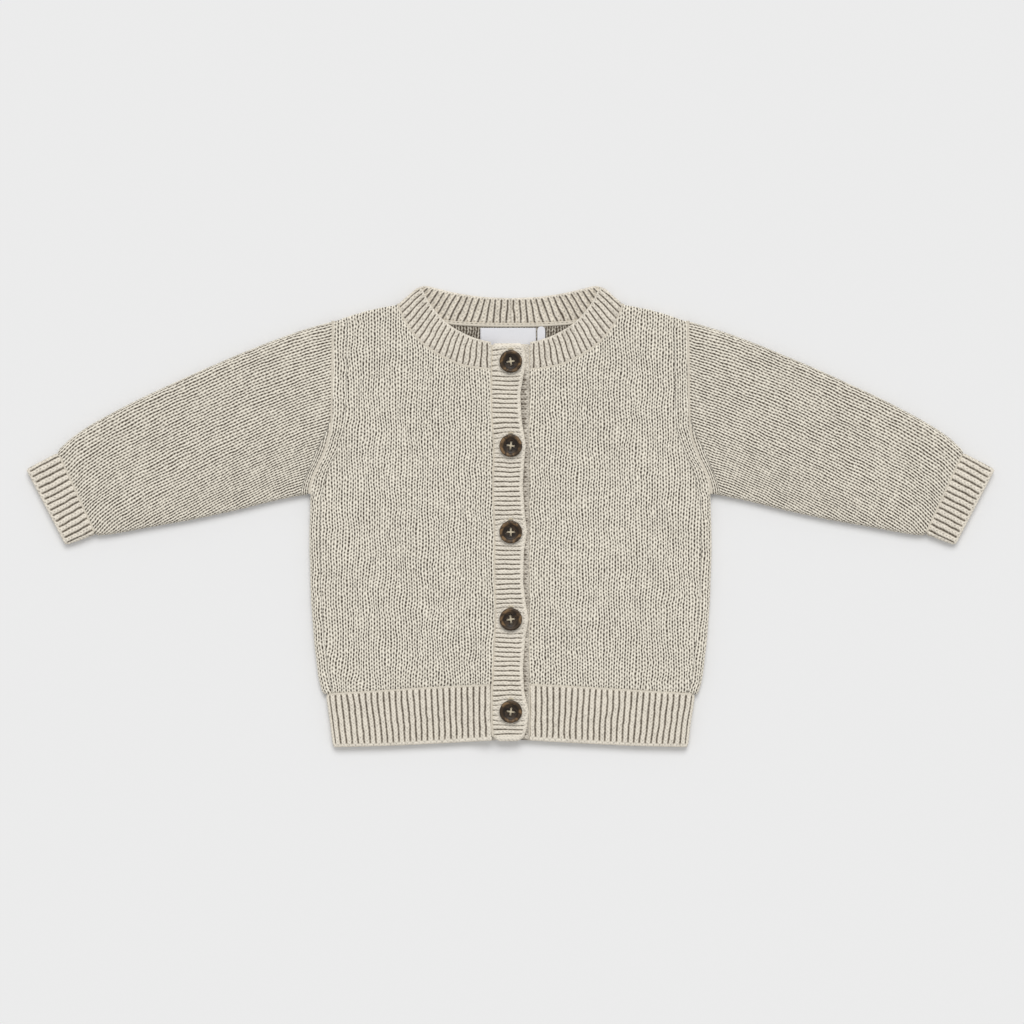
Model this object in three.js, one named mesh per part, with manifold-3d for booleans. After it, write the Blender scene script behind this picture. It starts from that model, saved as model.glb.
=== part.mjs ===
// A knitted baby cardigan, buttoned and laid flat on its back, in millimetres.
// +X is towards the wearer's left, +Y towards the neck, +Z up. The table is z = 0, and the origin
// is the middle of the garment's outline on the table.
import * as THREE from "three";
import { mergeVertices } from "three/addons/utils/BufferGeometryUtils.js";
import Module from "manifold-3d";

const wasm = await Module();
wasm.setup();

// ---- driving sizes

const clothThickness = 2.6;
const layerGap = 1.0; // air between the front and the back where they lie on each other
const seamGap = 0.3;
const curvedSeamGap = 0.35;
const ribSeamGap = 0.42;
const shoulderSeamGap = 0.9; // where the neckband turns over the shoulder
const layFlatHeight = 2 * clothThickness + layerGap;
const foldRadius = layFlatHeight / 2; // a folded edge rolls round at mid-height
const foldInnerRadius = layerGap / 2;
const foldAngles = [Math.PI / 2, Math.PI / 3, Math.PI / 6, 0]; // from lying flat to the very edge
const armpitHeight = 12.75; // the side fold opens into the armhole here
const armpitLength = 9.5; // over this height

const lapRise = clothThickness + seamGap; // the buttonhole band lies this far above the fronts
const lapRamp = 17; // the wearer's right front climbs to that band over this width
const lapSeamGap = 0.6;
const buttonBand = { left: -8.6, right: 12.3, top: 113.2, bottom: -147.4 };

const buttonHeights = [101.6, 46.2, -10.6, -68.0, -128.7];
const buttonCentreX = 0.2;
const buttonFacets = 24;
const threadHole = { diameter: 1.7, spacing: 3.4, facets: 8 };

const cuffInset = 0.9; // the rib starts this much inside the fuller sleeve, on each side

const label = { left: -19.9, right: 16.8, top: 124, bottom: 103 };
const tab = { left: 17.7, right: 22.9, top: 125, bottom: 106 };
const tapeThickness = 0.4;

// ---- outline tables for the wearer's left half; across is x, along is y

const sideEdge = [
  { across: 123.8, along: -117.5 },
  { across: 126.6, along: -108 },
  { across: 129.7, along: -82 },
  { across: 131.7, along: -55 },
  { across: 132.7, along: -22 },
  { across: 132.2, along: 8 },
  { across: 131.95, along: 17.5 },
  { across: 129.8, along: 25 },
  { across: 122.4, along: 41 },
  { across: 117.6, along: 56 },
  { across: 117.2, along: 72 },
  { across: 116.9, along: 94 },
  { across: 116.5, along: 128.7 },
];

const shoulderEdge = [
  { across: 74.3, along: 139.9 },
  { across: 84, along: 138.3 },
  { across: 95, along: 135.8 },
  { across: 105, along: 132.8 },
  { across: 116.5, along: 128.7 },
];

// the neckband's two edges, a row for each section from the fold at the shoulder
const frontBandRows = [
  { seamAcross: 74.3, seamAlong: 139.9, freeAcross: 59.4, freeAlong: 152.5 },
  { seamAcross: 71, seamAlong: 130.6, freeAcross: 54.6, freeAlong: 142.3 },
  { seamAcross: 66, seamAlong: 122.6, freeAcross: 50.2, freeAlong: 135.9 },
  { seamAcross: 58.7, seamAlong: 114.2, freeAcross: 43.6, freeAlong: 128.5 },
  { seamAcross: 47.9, seamAlong: 106.5, freeAcross: 36.6, freeAlong: 123.4 },
  { seamAcross: 33.6, seamAlong: 99.6, freeAcross: 26.6, freeAlong: 118.3 },
  { seamAcross: 20.5, seamAlong: 97.2, freeAcross: 18, freeAlong: 115.5 },
  { seamAcross: 0, seamAlong: 96.4, freeAcross: 0, freeAlong: 113.9 },
];
const backBandRows = [
  { seamAcross: 74.3, seamAlong: 139.9, freeAcross: 59.4, freeAlong: 152.5 },
  { seamAcross: 71, seamAlong: 137.2, freeAcross: 57.2, freeAlong: 152.3 },
  { seamAcross: 66, seamAlong: 134.6, freeAcross: 53.6, freeAlong: 151.4 },
  { seamAcross: 58, seamAlong: 131.6, freeAcross: 47.8, freeAlong: 149.8 },
  { seamAcross: 40, seamAlong: 128, freeAcross: 35, freeAlong: 146.8 },
  { seamAcross: 20, seamAlong: 126.8, freeAcross: 18, freeAlong: 144.3 },
  { seamAcross: 0, seamAlong: 126.6, freeAcross: 0, freeAlong: 143.6 },
];

const ribSeam = [
  { across: 0, along: -110.4 },
  { across: 60, along: -113.5 },
  { across: 123.8, along: -117.5 },
];
const hemSide = [
  { across: 117.2, along: -152.5 },
  { across: 119.4, along: -135 },
  { across: 121.9, along: -117.8 },
];
const hemEdge = [
  { across: 0, along: -147.2 },
  { across: 40, along: -149.6 },
  { across: 80, along: -151.6 },
  { across: 117.2, along: -152.5 },
];

const sleeveUpperEdge = [
  { across: 116.85, along: 128.6 },
  { across: 142, along: 121.2 },
  { across: 171.9, along: 109.8 },
  { across: 208.9, along: 93.9 },
  { across: 245.9, along: 76.8 },
  { across: 273.6, along: 62.2 },
  { across: 289, along: 52.2 },
  { across: 298.7, along: 43.0 },
];
const sleeveLowerEdge = [
  { across: 132.4, along: 14.4 },
  { across: 153.5, along: 10.4 },
  { across: 181.2, along: 3.4 },
  { across: 208.9, along: -2.6 },
  { across: 236.6, along: -7.4 },
  { across: 262, along: -12.2 },
  { across: 272.9, along: -13.2 },
];
const cuffEnd = { upperAcross: 319.4, upperAlong: 31.2, lowerAcross: 292.9, lowerAlong: -19.6 };

// the lapped band's edges swell past each button and pull in between; left and right are x
const buttonholeBandRows = [
  { along: 113.6, left: -10.6, right: 6.4 },
  { along: 111.8, left: -12.3, right: 8.8 },
  { along: 101.6, left: -12.6, right: 10.4 },
  { along: 92, left: -12.6, right: 8.4 },
  { along: 80, left: -12.6, right: 6.5 },
  { along: 63, left: -12.2, right: 7.4 },
  { along: 46.2, left: -10.9, right: 10.2 },
  { along: 34, left: -11.1, right: 8.9 },
  { along: 20, left: -11.5, right: 8.1 },
  { along: 2, left: -10.9, right: 9.4 },
  { along: -10.6, left: -10.4, right: 10.9 },
  { along: -24, left: -10.5, right: 8.8 },
  { along: -44, left: -10.4, right: 8.4 },
  { along: -58, left: -9.9, right: 10.2 },
  { along: -68, left: -9.8, right: 11.9 },
  { along: -80, left: -10.4, right: 9.8 },
  { along: -100, left: -11.3, right: 8.2 },
  { along: -115, left: -12.0, right: 9.0 },
  { along: -128.7, left: -12.1, right: 12.0 },
  { along: -140, left: -11.9, right: 10.8 },
  { along: -146.2, left: -11.2, right: 8.6 },
  { along: -148.3, left: -7.0, right: 4.6 },
];

// where the fronts, the neckband and the hem end at the bands, measured from the middle
const endAtButtonBand = () => buttonBand.right + seamGap;
function endAtButtonholeBand(along) {
  const inRange = Math.min(Math.max(along, -140), 101.6);
  return lapSeamGap - readTable(buttonholeBandRows, "along", inRange, "left");
}

// ---- reading the tables

// one column of a table at a value of another, with straight stretches between its rows
function readTable(rows, keyName, key, valueName) {
  const rising = rows[rows.length - 1][keyName] > rows[0][keyName];
  const sorted = rising ? rows : [...rows].reverse();
  const next = sorted.findIndex((row) => row[keyName] >= key);
  if (next === 0) return sorted[0][valueName];
  if (next < 0) return sorted[sorted.length - 1][valueName];
  const share = (key - sorted[next - 1][keyName]) / (sorted[next][keyName] - sorted[next - 1][keyName]);
  return THREE.MathUtils.lerp(sorted[next - 1][valueName], sorted[next][valueName], share);
}

// a smooth line through a table's rows, as a function of its length from 0 to 1
function smoothLine(rows) {
  const points = rows.map((row) => new THREE.Vector2(row.across, row.along));
  const line = new THREE.SplineCurve(points);
  return (share) => line.getPointAt(THREE.MathUtils.clamp(share, 0, 1));
}

// a ramp over the wearer's right front, from 0 in the panel to the full rise at its edge
function riseToBand(x) {
  return lapRise * THREE.MathUtils.smoothstep(x, -lapRamp - buttonBand.right, -buttonBand.right);
}

// ---- closed walls

// Turns a closed mesh's faces outward where its volume comes out negative.
function facingOut(geometry) {
  const position = geometry.getAttribute("position");
  const index = geometry.getIndex().array;
  const corners = [new THREE.Vector3(), new THREE.Vector3(), new THREE.Vector3()];
  let volume = 0;
  for (let i = 0; i < index.length; i += 3) {
    corners.forEach((corner, k) => corner.fromBufferAttribute(position, index[i + k]));
    volume += corners[0].dot(corners[1].cross(corners[2]));
  }
  if (volume < 0) {
    for (let i = 0; i < index.length; i += 3) [index[i], index[i + 1]] = [index[i + 1], index[i]];
  }
  geometry.computeVertexNormals();
  return geometry;
}

// The wall between two grids of points of one size, with a rim round it. A tube's rows close on
// themselves, so it has a rim at its two ends only.
function wallGeometry(outer, inner, isTube = false) {
  const rowCount = outer.length;
  const columnCount = outer[0].length;
  const positions = [...outer, ...inner].flat(2);
  const at = (layer, row, column) => (layer * rowCount + row) * columnCount + (column % columnCount);
  const triangles = [];
  const addQuad = (a, b, c, d) => triangles.push(a, b, c, a, c, d);
  const spans = isTube ? columnCount : columnCount - 1;
  const lastRow = rowCount - 1;
  for (let column = 0; column < spans; column += 1) {
    const next = column + 1;
    for (let row = 0; row < lastRow; row += 1) {
      addQuad(at(0, row, column), at(0, row, next), at(0, row + 1, next), at(0, row + 1, column));
      addQuad(at(1, row + 1, column), at(1, row + 1, next), at(1, row, next), at(1, row, column));
    }
    addQuad(at(0, 0, next), at(0, 0, column), at(1, 0, column), at(1, 0, next));
    addQuad(at(0, lastRow, column), at(0, lastRow, next), at(1, lastRow, next), at(1, lastRow, column));
  }
  for (let row = 0; row < lastRow && !isTube; row += 1) {
    const next = row + 1;
    addQuad(at(0, row, 0), at(0, next, 0), at(1, next, 0), at(1, row, 0));
    addQuad(at(0, next, spans), at(0, row, spans), at(1, row, spans), at(1, next, spans));
  }
  const geometry = new THREE.BufferGeometry();
  geometry.setAttribute("position", new THREE.Float32BufferAttribute(positions, 3));
  geometry.setIndex(triangles);
  return facingOut(geometry);
}

// ---- folded edges

// Where the lower wall's two faces are at an angle of the roll: how far inside the edge, and how
// high. A share of 0 is a plain cut edge and 1 a full roll up to the seam at mid-height.
function rollPoint(angle, share) {
  const seamHeight = foldRadius - seamGap / 2;
  const outerInset = foldRadius * (1 - Math.cos(angle));
  const innerInset = foldRadius - foldInnerRadius * Math.cos(angle);
  const outerHeight = Math.min(foldRadius * (1 - Math.sin(angle)), seamHeight);
  const innerHeight = Math.min(foldRadius - foldInnerRadius * Math.sin(angle), seamHeight);
  return {
    outer: { inset: outerInset, height: share * outerHeight },
    inner: {
      inset: THREE.MathUtils.lerp(outerInset, innerInset, share),
      height: THREE.MathUtils.lerp(clothThickness, innerHeight, share),
    },
  };
}

// ---- body panels and hem

// One half of a panel, as rows of points on its two faces from the middle out. The spec gives its
// lines as functions: middle(along), side(along), bottom(across), top(across) and the rolls.
function panelHalf(spec) {
  const flat = Math.PI / 2;
  const columns = spec.columnStops.map((stop) => ({ stop, angle: flat }));
  columns.push(...foldAngles.map((angle) => ({ stop: spec.sideStop, angle })));
  const rows = spec.rowShares.map((share) => ({ share, angle: flat }));
  rows.push(...spec.topAngles.map((angle) => ({ share: 1, angle })));
  const faceRows = (face) => rows.map((row) => columns.map((column) => {
    const topRoll = rollPoint(row.angle, spec.topRollShare(column.stop))[face];
    const topLine = spec.top(column.stop) - (row.share === 1 ? topRoll.inset : 0);
    const along = THREE.MathUtils.lerp(spec.bottom(column.stop), topLine, row.share);
    const sideAlong = THREE.MathUtils.lerp(spec.bottom(spec.sideStop), spec.top(spec.sideStop), row.share);
    const sideRoll = rollPoint(column.angle, spec.sideRollShare(sideAlong))[face];
    const middle = spec.middle(along);
    const columnShare = (column.stop - spec.columnStops[0]) / (spec.sideStop - spec.columnStops[0]);
    const across = THREE.MathUtils.lerp(middle, spec.side(sideAlong), columnShare)
      - (column.stop === spec.sideStop ? sideRoll.inset : 0);
    return [across, along, Math.max(sideRoll.height, topRoll.height)];
  }));
  return { outer: faceRows("outer"), inner: faceRows("inner") };
}

// the other half of a symmetrical panel, joined to it along the middle column
function withMirror(rows) {
  return rows.map((row) => [...row.slice(1).reverse().map(([x, y, z]) => [-x, y, z]), ...row]);
}

// a panel on the upper level, on one side of the middle: side 1 is the wearer's left, -1 the right
function onTop(rows, side) {
  return rows.map((row) => row.map(([x, y, z]) => {
    const lift = side < 0 ? riseToBand(-x) : 0;
    return [side * x, y, layFlatHeight - z + lift];
  }));
}

const shoulderStops = shoulderEdge.slice(1, -1).map((row) => row.across);
const shoulderPoint = shoulderEdge[shoulderEdge.length - 1];
const neckStops = (rows, from) => rows.map((row) => row.seamAcross).filter((stop) => stop > from).reverse();

function bodySpec(bandRows, firstStop, middle) {
  const sideRows = sideEdge.slice(0, -1);
  const height = shoulderPoint.along - sideEdge[0].along;
  const widening = sideEdge[0].across / shoulderPoint.across;
  const isShoulder = (stop) => stop >= shoulderEdge[0].across;
  return {
    columnStops: [firstStop, ...neckStops(bandRows, firstStop + 1), ...shoulderStops],
    sideStop: shoulderPoint.across,
    rowShares: sideRows.map((row) => (row.along - sideEdge[0].along) / height),
    topAngles: foldAngles,
    middle,
    side: (along) => readTable(sideEdge, "along", along, "across"),
    bottom: (stop) => readTable(ribSeam, "across", stop * widening, "along"),
    top: (stop) => (isShoulder(stop)
      ? readTable(shoulderEdge, "across", stop, "along")
      : readTable(bandRows, "seamAcross", stop, "seamAlong")),
    topRollShare: (stop) => (isShoulder(stop) ? 1 : 0),
    sideRollShare: (along) => 1 - THREE.MathUtils.smoothstep(
      along, armpitHeight - armpitLength / 2, armpitHeight + armpitLength / 2),
  };
}

function hemSpec(firstStop, middle) {
  const widening = hemSide[2].across / hemSide[0].across;
  return {
    columnStops: [firstStop, ...[20, 40, 60, 80, 100].filter((stop) => stop > firstStop)],
    sideStop: hemSide[0].across,
    rowShares: [0, 0.5],
    topAngles: [0],
    middle,
    side: (along) => readTable(hemSide, "along", along, "across"),
    bottom: (stop) => readTable(hemEdge, "across", stop, "along"),
    top: (stop) => readTable(ribSeam, "across", stop * widening, "along") - ribSeamGap,
    topRollShare: () => 0,
    sideRollShare: () => 1,
  };
}

function wholePanel(spec) {
  const { outer, inner } = panelHalf(spec);
  return wallGeometry(withMirror(outer), withMirror(inner));
}

function frontPanel(spec, side) {
  const { outer, inner } = panelHalf(spec);
  return wallGeometry(onTop(outer, side), onTop(inner, side));
}

// ---- sleeves and cuffs: flattened tubes

// The stations round a flattened tube: along the top, round the upper fold, back along the
// underside and round the lower fold. Each gives its place across for a tube of a given width.
function tubeStations(acrossShares) {
  const round = [...foldAngles, ...foldAngles.slice(0, -1).reverse().map((angle) => -angle)];
  const atFold = (angle, isUpper) => ({
    outer: (width) => foldPlace(foldRadius * (1 - Math.cos(angle)) / width, isUpper),
    inner: (width) => foldPlace((foldRadius - foldInnerRadius * Math.cos(angle)) / width, isUpper),
    outerHeight: foldRadius * (1 + Math.sin(angle)),
    innerHeight: foldRadius + foldInnerRadius * Math.sin(angle),
  });
  const onFlat = (share, isTop) => ({
    outer: () => share,
    inner: () => share,
    outerHeight: isTop ? layFlatHeight : 0,
    innerHeight: isTop ? layFlatHeight - clothThickness : clothThickness,
  });
  return [
    ...acrossShares.map((share) => onFlat(share, true)),
    ...round.map((angle) => atFold(angle, true)),
    ...[...acrossShares].reverse().map((share) => onFlat(share, false)),
    ...round.map((angle) => atFold(-angle, false)),
  ];
}

const foldPlace = (share, isUpper) => (isUpper ? 1 - share : share);

// a tube of cloth over a patch of the table: place(length share, across share) is a point on it
function tubeGeometry(place, lengthShares, acrossShares, side) {
  const stations = tubeStations(acrossShares);
  const faceRows = (face) => lengthShares.map((length) => {
    const width = place(length, 0).distanceTo(place(length, 1));
    return stations.map((station) => {
      const point = place(length, station[face](width));
      return [side * point.x, point.y, station[`${face}Height`]];
    });
  });
  return wallGeometry(faceRows("outer"), faceRows("inner"), true);
}

// the sleeve's outline, blended from its armhole, cuff seam, upper and lower edges
const upperLine = smoothLine(sleeveUpperEdge);
const lowerLine = smoothLine(sleeveLowerEdge);
const sleeveTop = sleeveUpperEdge[0];
const sleeveUnderarm = sleeveLowerEdge[0];

function armholePoint(across) {
  const along = THREE.MathUtils.lerp(sleeveUnderarm.along, sleeveTop.along, across);
  return new THREE.Vector2(readTable(sideEdge, "along", along, "across") + curvedSeamGap, along);
}

function sleevePlace(length, across) {
  const cuffSeamPoint = (share) => lowerLine(1).lerp(upperLine(1), share);
  const betweenEdges = lowerLine(length).lerp(upperLine(length), across);
  const betweenEnds = armholePoint(across).lerp(cuffSeamPoint(across), length);
  const start = armholePoint(0).lerp(armholePoint(1), across);
  const corners = start.lerp(cuffSeamPoint(across), length);
  return betweenEdges.add(betweenEnds).sub(corners);
}

const sleeveLengthShares = [0, 0.06, 0.14, 0.26, 0.4, 0.55, 0.7, 0.84, 0.94, 1];
const sleeveAcrossShares = sideEdge
  .filter((row) => row.along > 20 && row.along < 100)
  .map((row) => (row.along - sleeveUnderarm.along) / (sleeveTop.along - sleeveUnderarm.along));

function cuffPlace(length, across) {
  const outward = upperLine(1).sub(lowerLine(1)).normalize().rotateAround(new THREE.Vector2(), -Math.PI / 2);
  const seamLower = lowerLine(1).addScaledVector(outward, seamGap);
  const seamUpper = upperLine(1).addScaledVector(outward, seamGap);
  const inset = cuffInset / seamLower.distanceTo(seamUpper);
  const atSeam = seamLower.lerp(seamUpper, THREE.MathUtils.lerp(inset, 1 - inset, across));
  const endLower = new THREE.Vector2(cuffEnd.lowerAcross, cuffEnd.lowerAlong);
  const endUpper = new THREE.Vector2(cuffEnd.upperAcross, cuffEnd.upperAlong);
  return atSeam.lerp(endLower.lerp(endUpper, across), length);
}

const cuffLengthShares = [0, 0.5, 1];
const cuffAcrossShares = [0.2, 0.4, 0.6, 0.8];

// ---- neckband: one strip from the lapped edge, over both shoulder folds, to the other edge

// the strip's two edges at a distance from the shoulder fold, or at a row of the table
function bandSection(rows, index, distance = 0) {
  const edgePoint = (name) => {
    const here = new THREE.Vector2(rows[index][`${name}Across`], rows[index][`${name}Along`]);
    if (distance === 0) return here;
    const next = rows[index + 1];
    const towards = new THREE.Vector2(next[`${name}Across`], next[`${name}Along`]).sub(here).normalize();
    return here.addScaledVector(towards, distance);
  };
  const free = edgePoint("free");
  const seam = edgePoint("seam");
  const gap = index === 0 ? shoulderSeamGap : curvedSeamGap;
  return { seam: seam.addScaledVector(free.clone().sub(seam).normalize(), gap), free };
}

// the section where the strip ends at a band, square to the middle
function bandEnd(middle) {
  const last = frontBandRows.length - 1;
  const heightAt = (name, across) => readTable(frontBandRows, `${name}Across`, across, `${name}Along`);
  const across = middle(frontBandRows[last].seamAlong);
  return {
    seam: new THREE.Vector2(across, heightAt("seam", across) + curvedSeamGap),
    free: new THREE.Vector2(across, heightAt("free", across)),
  };
}

function neckbandHalf(face, middle, side) {
  const isOuter = face === "outer";
  const foldRows = (angles, rows) => angles.map((angle) => {
    const distance = isOuter
      ? foldRadius * (1 - Math.cos(angle))
      : foldRadius - foldInnerRadius * Math.cos(angle);
    const radius = isOuter ? foldRadius : foldInnerRadius;
    return { ...bandSection(rows, 0, distance), height: foldRadius + radius * Math.sin(angle) };
  });
  const topHeight = isOuter ? layFlatHeight : layFlatHeight - clothThickness;
  const underHeight = isOuter ? 0 : clothThickness;
  const flatRows = (rows, height) => rows.slice(1, -1).map((row, i) => (
    { ...bandSection(rows, i + 1), height }));
  const sections = [
    { ...bandEnd(middle), height: topHeight },
    ...flatRows(frontBandRows, topHeight).reverse(),
    ...foldRows(foldAngles, frontBandRows),
    ...foldRows(foldAngles.slice(0, -1).reverse().map((angle) => -angle), backBandRows),
    ...flatRows(backBandRows, underHeight),
  ];
  const points = sections.map((section) => [section.seam, section.free].map((point) => {
    const lift = side < 0 && section.height > foldRadius ? riseToBand(-point.x) : 0;
    return [side * point.x, point.y, section.height + lift];
  }));
  return points;
}

function neckbandGeometry() {
  const faceRows = (face) => {
    const centre = bandSection(backBandRows, backBandRows.length - 1);
    const height = face === "outer" ? 0 : clothThickness;
    const centreRow = [[0, centre.seam.y, height], [0, centre.free.y, height]];
    const right = neckbandHalf(face, endAtButtonholeBand, -1);
    const left = neckbandHalf(face, endAtButtonBand, 1);
    return [...right, centreRow, ...left.reverse()];
  };
  return wallGeometry(faceRows("outer"), faceRows("inner"));
}

// ---- bands, buttons and tapes

function buttonholeBandGeometry() {
  const level = layFlatHeight + seamGap;
  const faceRows = (height) => buttonholeBandRows.map((row) => (
    [[row.left, row.along, height], [row.right, row.along, height]]));
  return wallGeometry(faceRows(level + clothThickness), faceRows(level));
}

function flatShape(outline, thickness) {
  return new THREE.ExtrudeGeometry(outline, { depth: thickness, bevelEnabled: false, curveSegments: 8 });
}

function rectangle({ left, right, top, bottom }) {
  const corners = [[left, bottom], [right, bottom], [right, top], [left, top]];
  return new THREE.Shape(corners.map(([x, y]) => new THREE.Vector2(x, y)));
}

function roundTopped({ left, right, top, bottom }) {
  const radius = (right - left) / 2;
  const outline = new THREE.Shape();
  outline.moveTo(left, bottom);
  outline.lineTo(right, bottom);
  outline.lineTo(right, top - radius);
  outline.absarc(left + radius, top - radius, radius, 0, Math.PI, false);
  return outline;
}

// from the middle of the back, round the rim and down into the dished face
const buttonProfile = [
  { radius: 0, height: 0 },
  { radius: 6.6, height: 0 },
  { radius: 7.3, height: 0.6 },
  { radius: 7.5, height: 1.5 },
  { radius: 7.2, height: 2.4 },
  { radius: 6.5, height: 2.8 },
  { radius: 5.7, height: 2.6 },
  { radius: 4.7, height: 1.9 },
  { radius: 0, height: 1.7 },
];

function solidOf(geometry) {
  geometry.deleteAttribute("normal");
  geometry.deleteAttribute("uv");
  const merged = mergeVertices(geometry, 1e-4);
  return new wasm.Manifold(new wasm.Mesh({
    numProp: 3,
    vertProperties: merged.getAttribute("position").array,
    triVerts: new Uint32Array(merged.getIndex().array),
  }));
}

function buttonGeometry() {
  const outline = buttonProfile.map((row) => new THREE.Vector2(row.radius, row.height));
  const disc = new THREE.LatheGeometry(outline, buttonFacets);
  disc.rotateX(Math.PI / 2);
  let solid = solidOf(facingOut(disc));
  const top = Math.max(...buttonProfile.map((row) => row.height));
  for (const sideX of [-1, 1]) {
    for (const sideY of [-1, 1]) {
      const hole = new THREE.CylinderGeometry(
        threadHole.diameter / 2, threadHole.diameter / 2, 3 * top, threadHole.facets);
      hole.rotateX(Math.PI / 2);
      hole.translate(sideX * threadHole.spacing / 2, sideY * threadHole.spacing / 2, top / 2);
      solid = solid.subtract(solidOf(hole));
    }
  }
  const result = solid.getMesh();
  const geometry = new THREE.BufferGeometry();
  geometry.setAttribute("position", new THREE.BufferAttribute(result.vertProperties, 3));
  geometry.setIndex([...result.triVerts]);
  geometry.computeVertexNormals();
  return geometry;
}

// ---- the garment

const finishes = {
  bodyKnit: { color: 0xcdc3b2, roughness: 0.95, metalness: 0 },
  ribKnit: { color: 0xcac0af, roughness: 0.95, metalness: 0 },
  button: { color: 0x3d2f24, roughness: 0.35, metalness: 0 },
  tape: { color: 0xf2f2f2, roughness: 0.7, metalness: 0 },
};

const cardigan = new THREE.Group();

function addPiece(parent, name, geometry, finish) {
  const mesh = new THREE.Mesh(geometry, new THREE.MeshStandardMaterial(finishes[finish]));
  mesh.name = name;
  parent.add(mesh);
  return mesh;
}

addPiece(cardigan, "back", wholePanel(bodySpec(backBandRows, 0, () => 0)), "bodyKnit");
addPiece(cardigan, "hem_back", wholePanel(hemSpec(0, () => 0)), "ribKnit");

const halves = [
  { name: "right", side: -1, middle: endAtButtonholeBand },
  { name: "left", side: 1, middle: endAtButtonBand },
];
for (const { name, side, middle } of halves) {
  const firstStop = endAtButtonBand();
  const body = bodySpec(frontBandRows, firstStop, middle);
  addPiece(cardigan, `front_${name}`, frontPanel(body, side), "bodyKnit");
  addPiece(cardigan, `hem_front_${name}`, frontPanel(hemSpec(firstStop, middle), side), "ribKnit");
  const sleeve = tubeGeometry(sleevePlace, sleeveLengthShares, sleeveAcrossShares, side);
  addPiece(cardigan, `sleeve_${name}`, sleeve, "bodyKnit");
  const cuff = tubeGeometry(cuffPlace, cuffLengthShares, cuffAcrossShares, side);
  addPiece(cardigan, `cuff_${name}`, cuff, "ribKnit");
}

addPiece(cardigan, "neckband", neckbandGeometry(), "ribKnit");
addPiece(cardigan, "buttonhole_band", buttonholeBandGeometry(), "ribKnit");
const underBand = addPiece(
  cardigan, "button_band", flatShape(rectangle(buttonBand), clothThickness), "ribKnit");
underBand.position.z = layFlatHeight - clothThickness;

const buttons = new THREE.Group();
buttons.position.set(buttonCentreX, 0, layFlatHeight + lapRise + seamGap);
cardigan.add(buttons);
buttonHeights.forEach((height, i) => {
  addPiece(buttons, `button_${i + 1}`, buttonGeometry(), "button").position.y = height;
});

const tapes = new THREE.Group(); // both tapes lie on the inside of the back panel
tapes.position.z = clothThickness + seamGap;
cardigan.add(tapes);
addPiece(tapes, "neck_label", flatShape(rectangle(label), tapeThickness), "tape");
addPiece(tapes, "size_tab", flatShape(roundTopped(tab), tapeThickness), "tape");

export default cardigan;
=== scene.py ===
import math

import bpy
import numpy as np
from mathutils import Matrix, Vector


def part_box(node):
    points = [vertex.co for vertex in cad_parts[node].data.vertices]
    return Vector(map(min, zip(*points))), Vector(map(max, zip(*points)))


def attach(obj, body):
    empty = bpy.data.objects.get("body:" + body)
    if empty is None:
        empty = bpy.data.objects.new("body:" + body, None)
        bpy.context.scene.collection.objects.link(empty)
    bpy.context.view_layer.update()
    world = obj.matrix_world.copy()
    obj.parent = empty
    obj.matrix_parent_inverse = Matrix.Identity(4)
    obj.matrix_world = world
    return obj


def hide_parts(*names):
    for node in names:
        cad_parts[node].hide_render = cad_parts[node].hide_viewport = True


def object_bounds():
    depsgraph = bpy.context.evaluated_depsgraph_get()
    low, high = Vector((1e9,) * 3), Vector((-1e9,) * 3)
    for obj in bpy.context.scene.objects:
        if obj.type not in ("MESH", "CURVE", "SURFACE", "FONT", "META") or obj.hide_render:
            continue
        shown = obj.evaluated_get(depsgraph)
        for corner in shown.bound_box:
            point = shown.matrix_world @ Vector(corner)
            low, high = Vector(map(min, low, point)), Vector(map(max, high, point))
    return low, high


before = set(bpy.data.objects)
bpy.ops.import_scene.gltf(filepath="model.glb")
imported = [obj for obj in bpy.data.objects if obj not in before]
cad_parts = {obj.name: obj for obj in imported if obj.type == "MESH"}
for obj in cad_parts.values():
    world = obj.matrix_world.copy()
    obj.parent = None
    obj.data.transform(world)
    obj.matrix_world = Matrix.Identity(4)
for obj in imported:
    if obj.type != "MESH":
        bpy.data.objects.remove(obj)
cadLow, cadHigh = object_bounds()

# camera: straight above the garment, which fills most of the width
view = {"height": 3.0, "garmentShare": 0.9453, "sensor": 0.036, "shiftRight": 0.001, "shiftUp": 0.0026}

def addCamera():
    camera = bpy.data.objects.new("camera", bpy.data.cameras.new("camera"))
    bpy.context.collection.objects.link(camera)
    frameWidth = (cadHigh.x - cadLow.x) / view["garmentShare"]
    camera.data.sensor_width = view["sensor"] * 1000
    camera.data.lens = view["sensor"] * 1000 * view["height"] / frameWidth
    camera.location = ((cadLow.x + cadHigh.x) / 2 + view["shiftRight"],
                       (cadLow.y + cadHigh.y) / 2 + view["shiftUp"], view["height"])
    camera.data.clip_end = 20
    bpy.context.scene.camera = camera
    print("camera made")

addCamera()

# the cloth, in metres
cloth = {"thickness": 0.0026, "stack": 0.0062, "lapRise": 0.0029, "lapRamp": 0.017}
foldRadius = cloth["stack"] / 2
gauge = {"bodyWale": 0.00352, "bodyCourse": 0.00265, "sleeveWale": 0.0039, "sleeveCourse": 0.0026,
         "cuffRib": 0.0041, "neckRib": 0.0043, "bandRib": 0.0032, "ribCourse": 0.0026}
reliefDepth = {"plain": 0.00075, "rib": 0.0013}
rng = np.random.default_rng(7)

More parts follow.
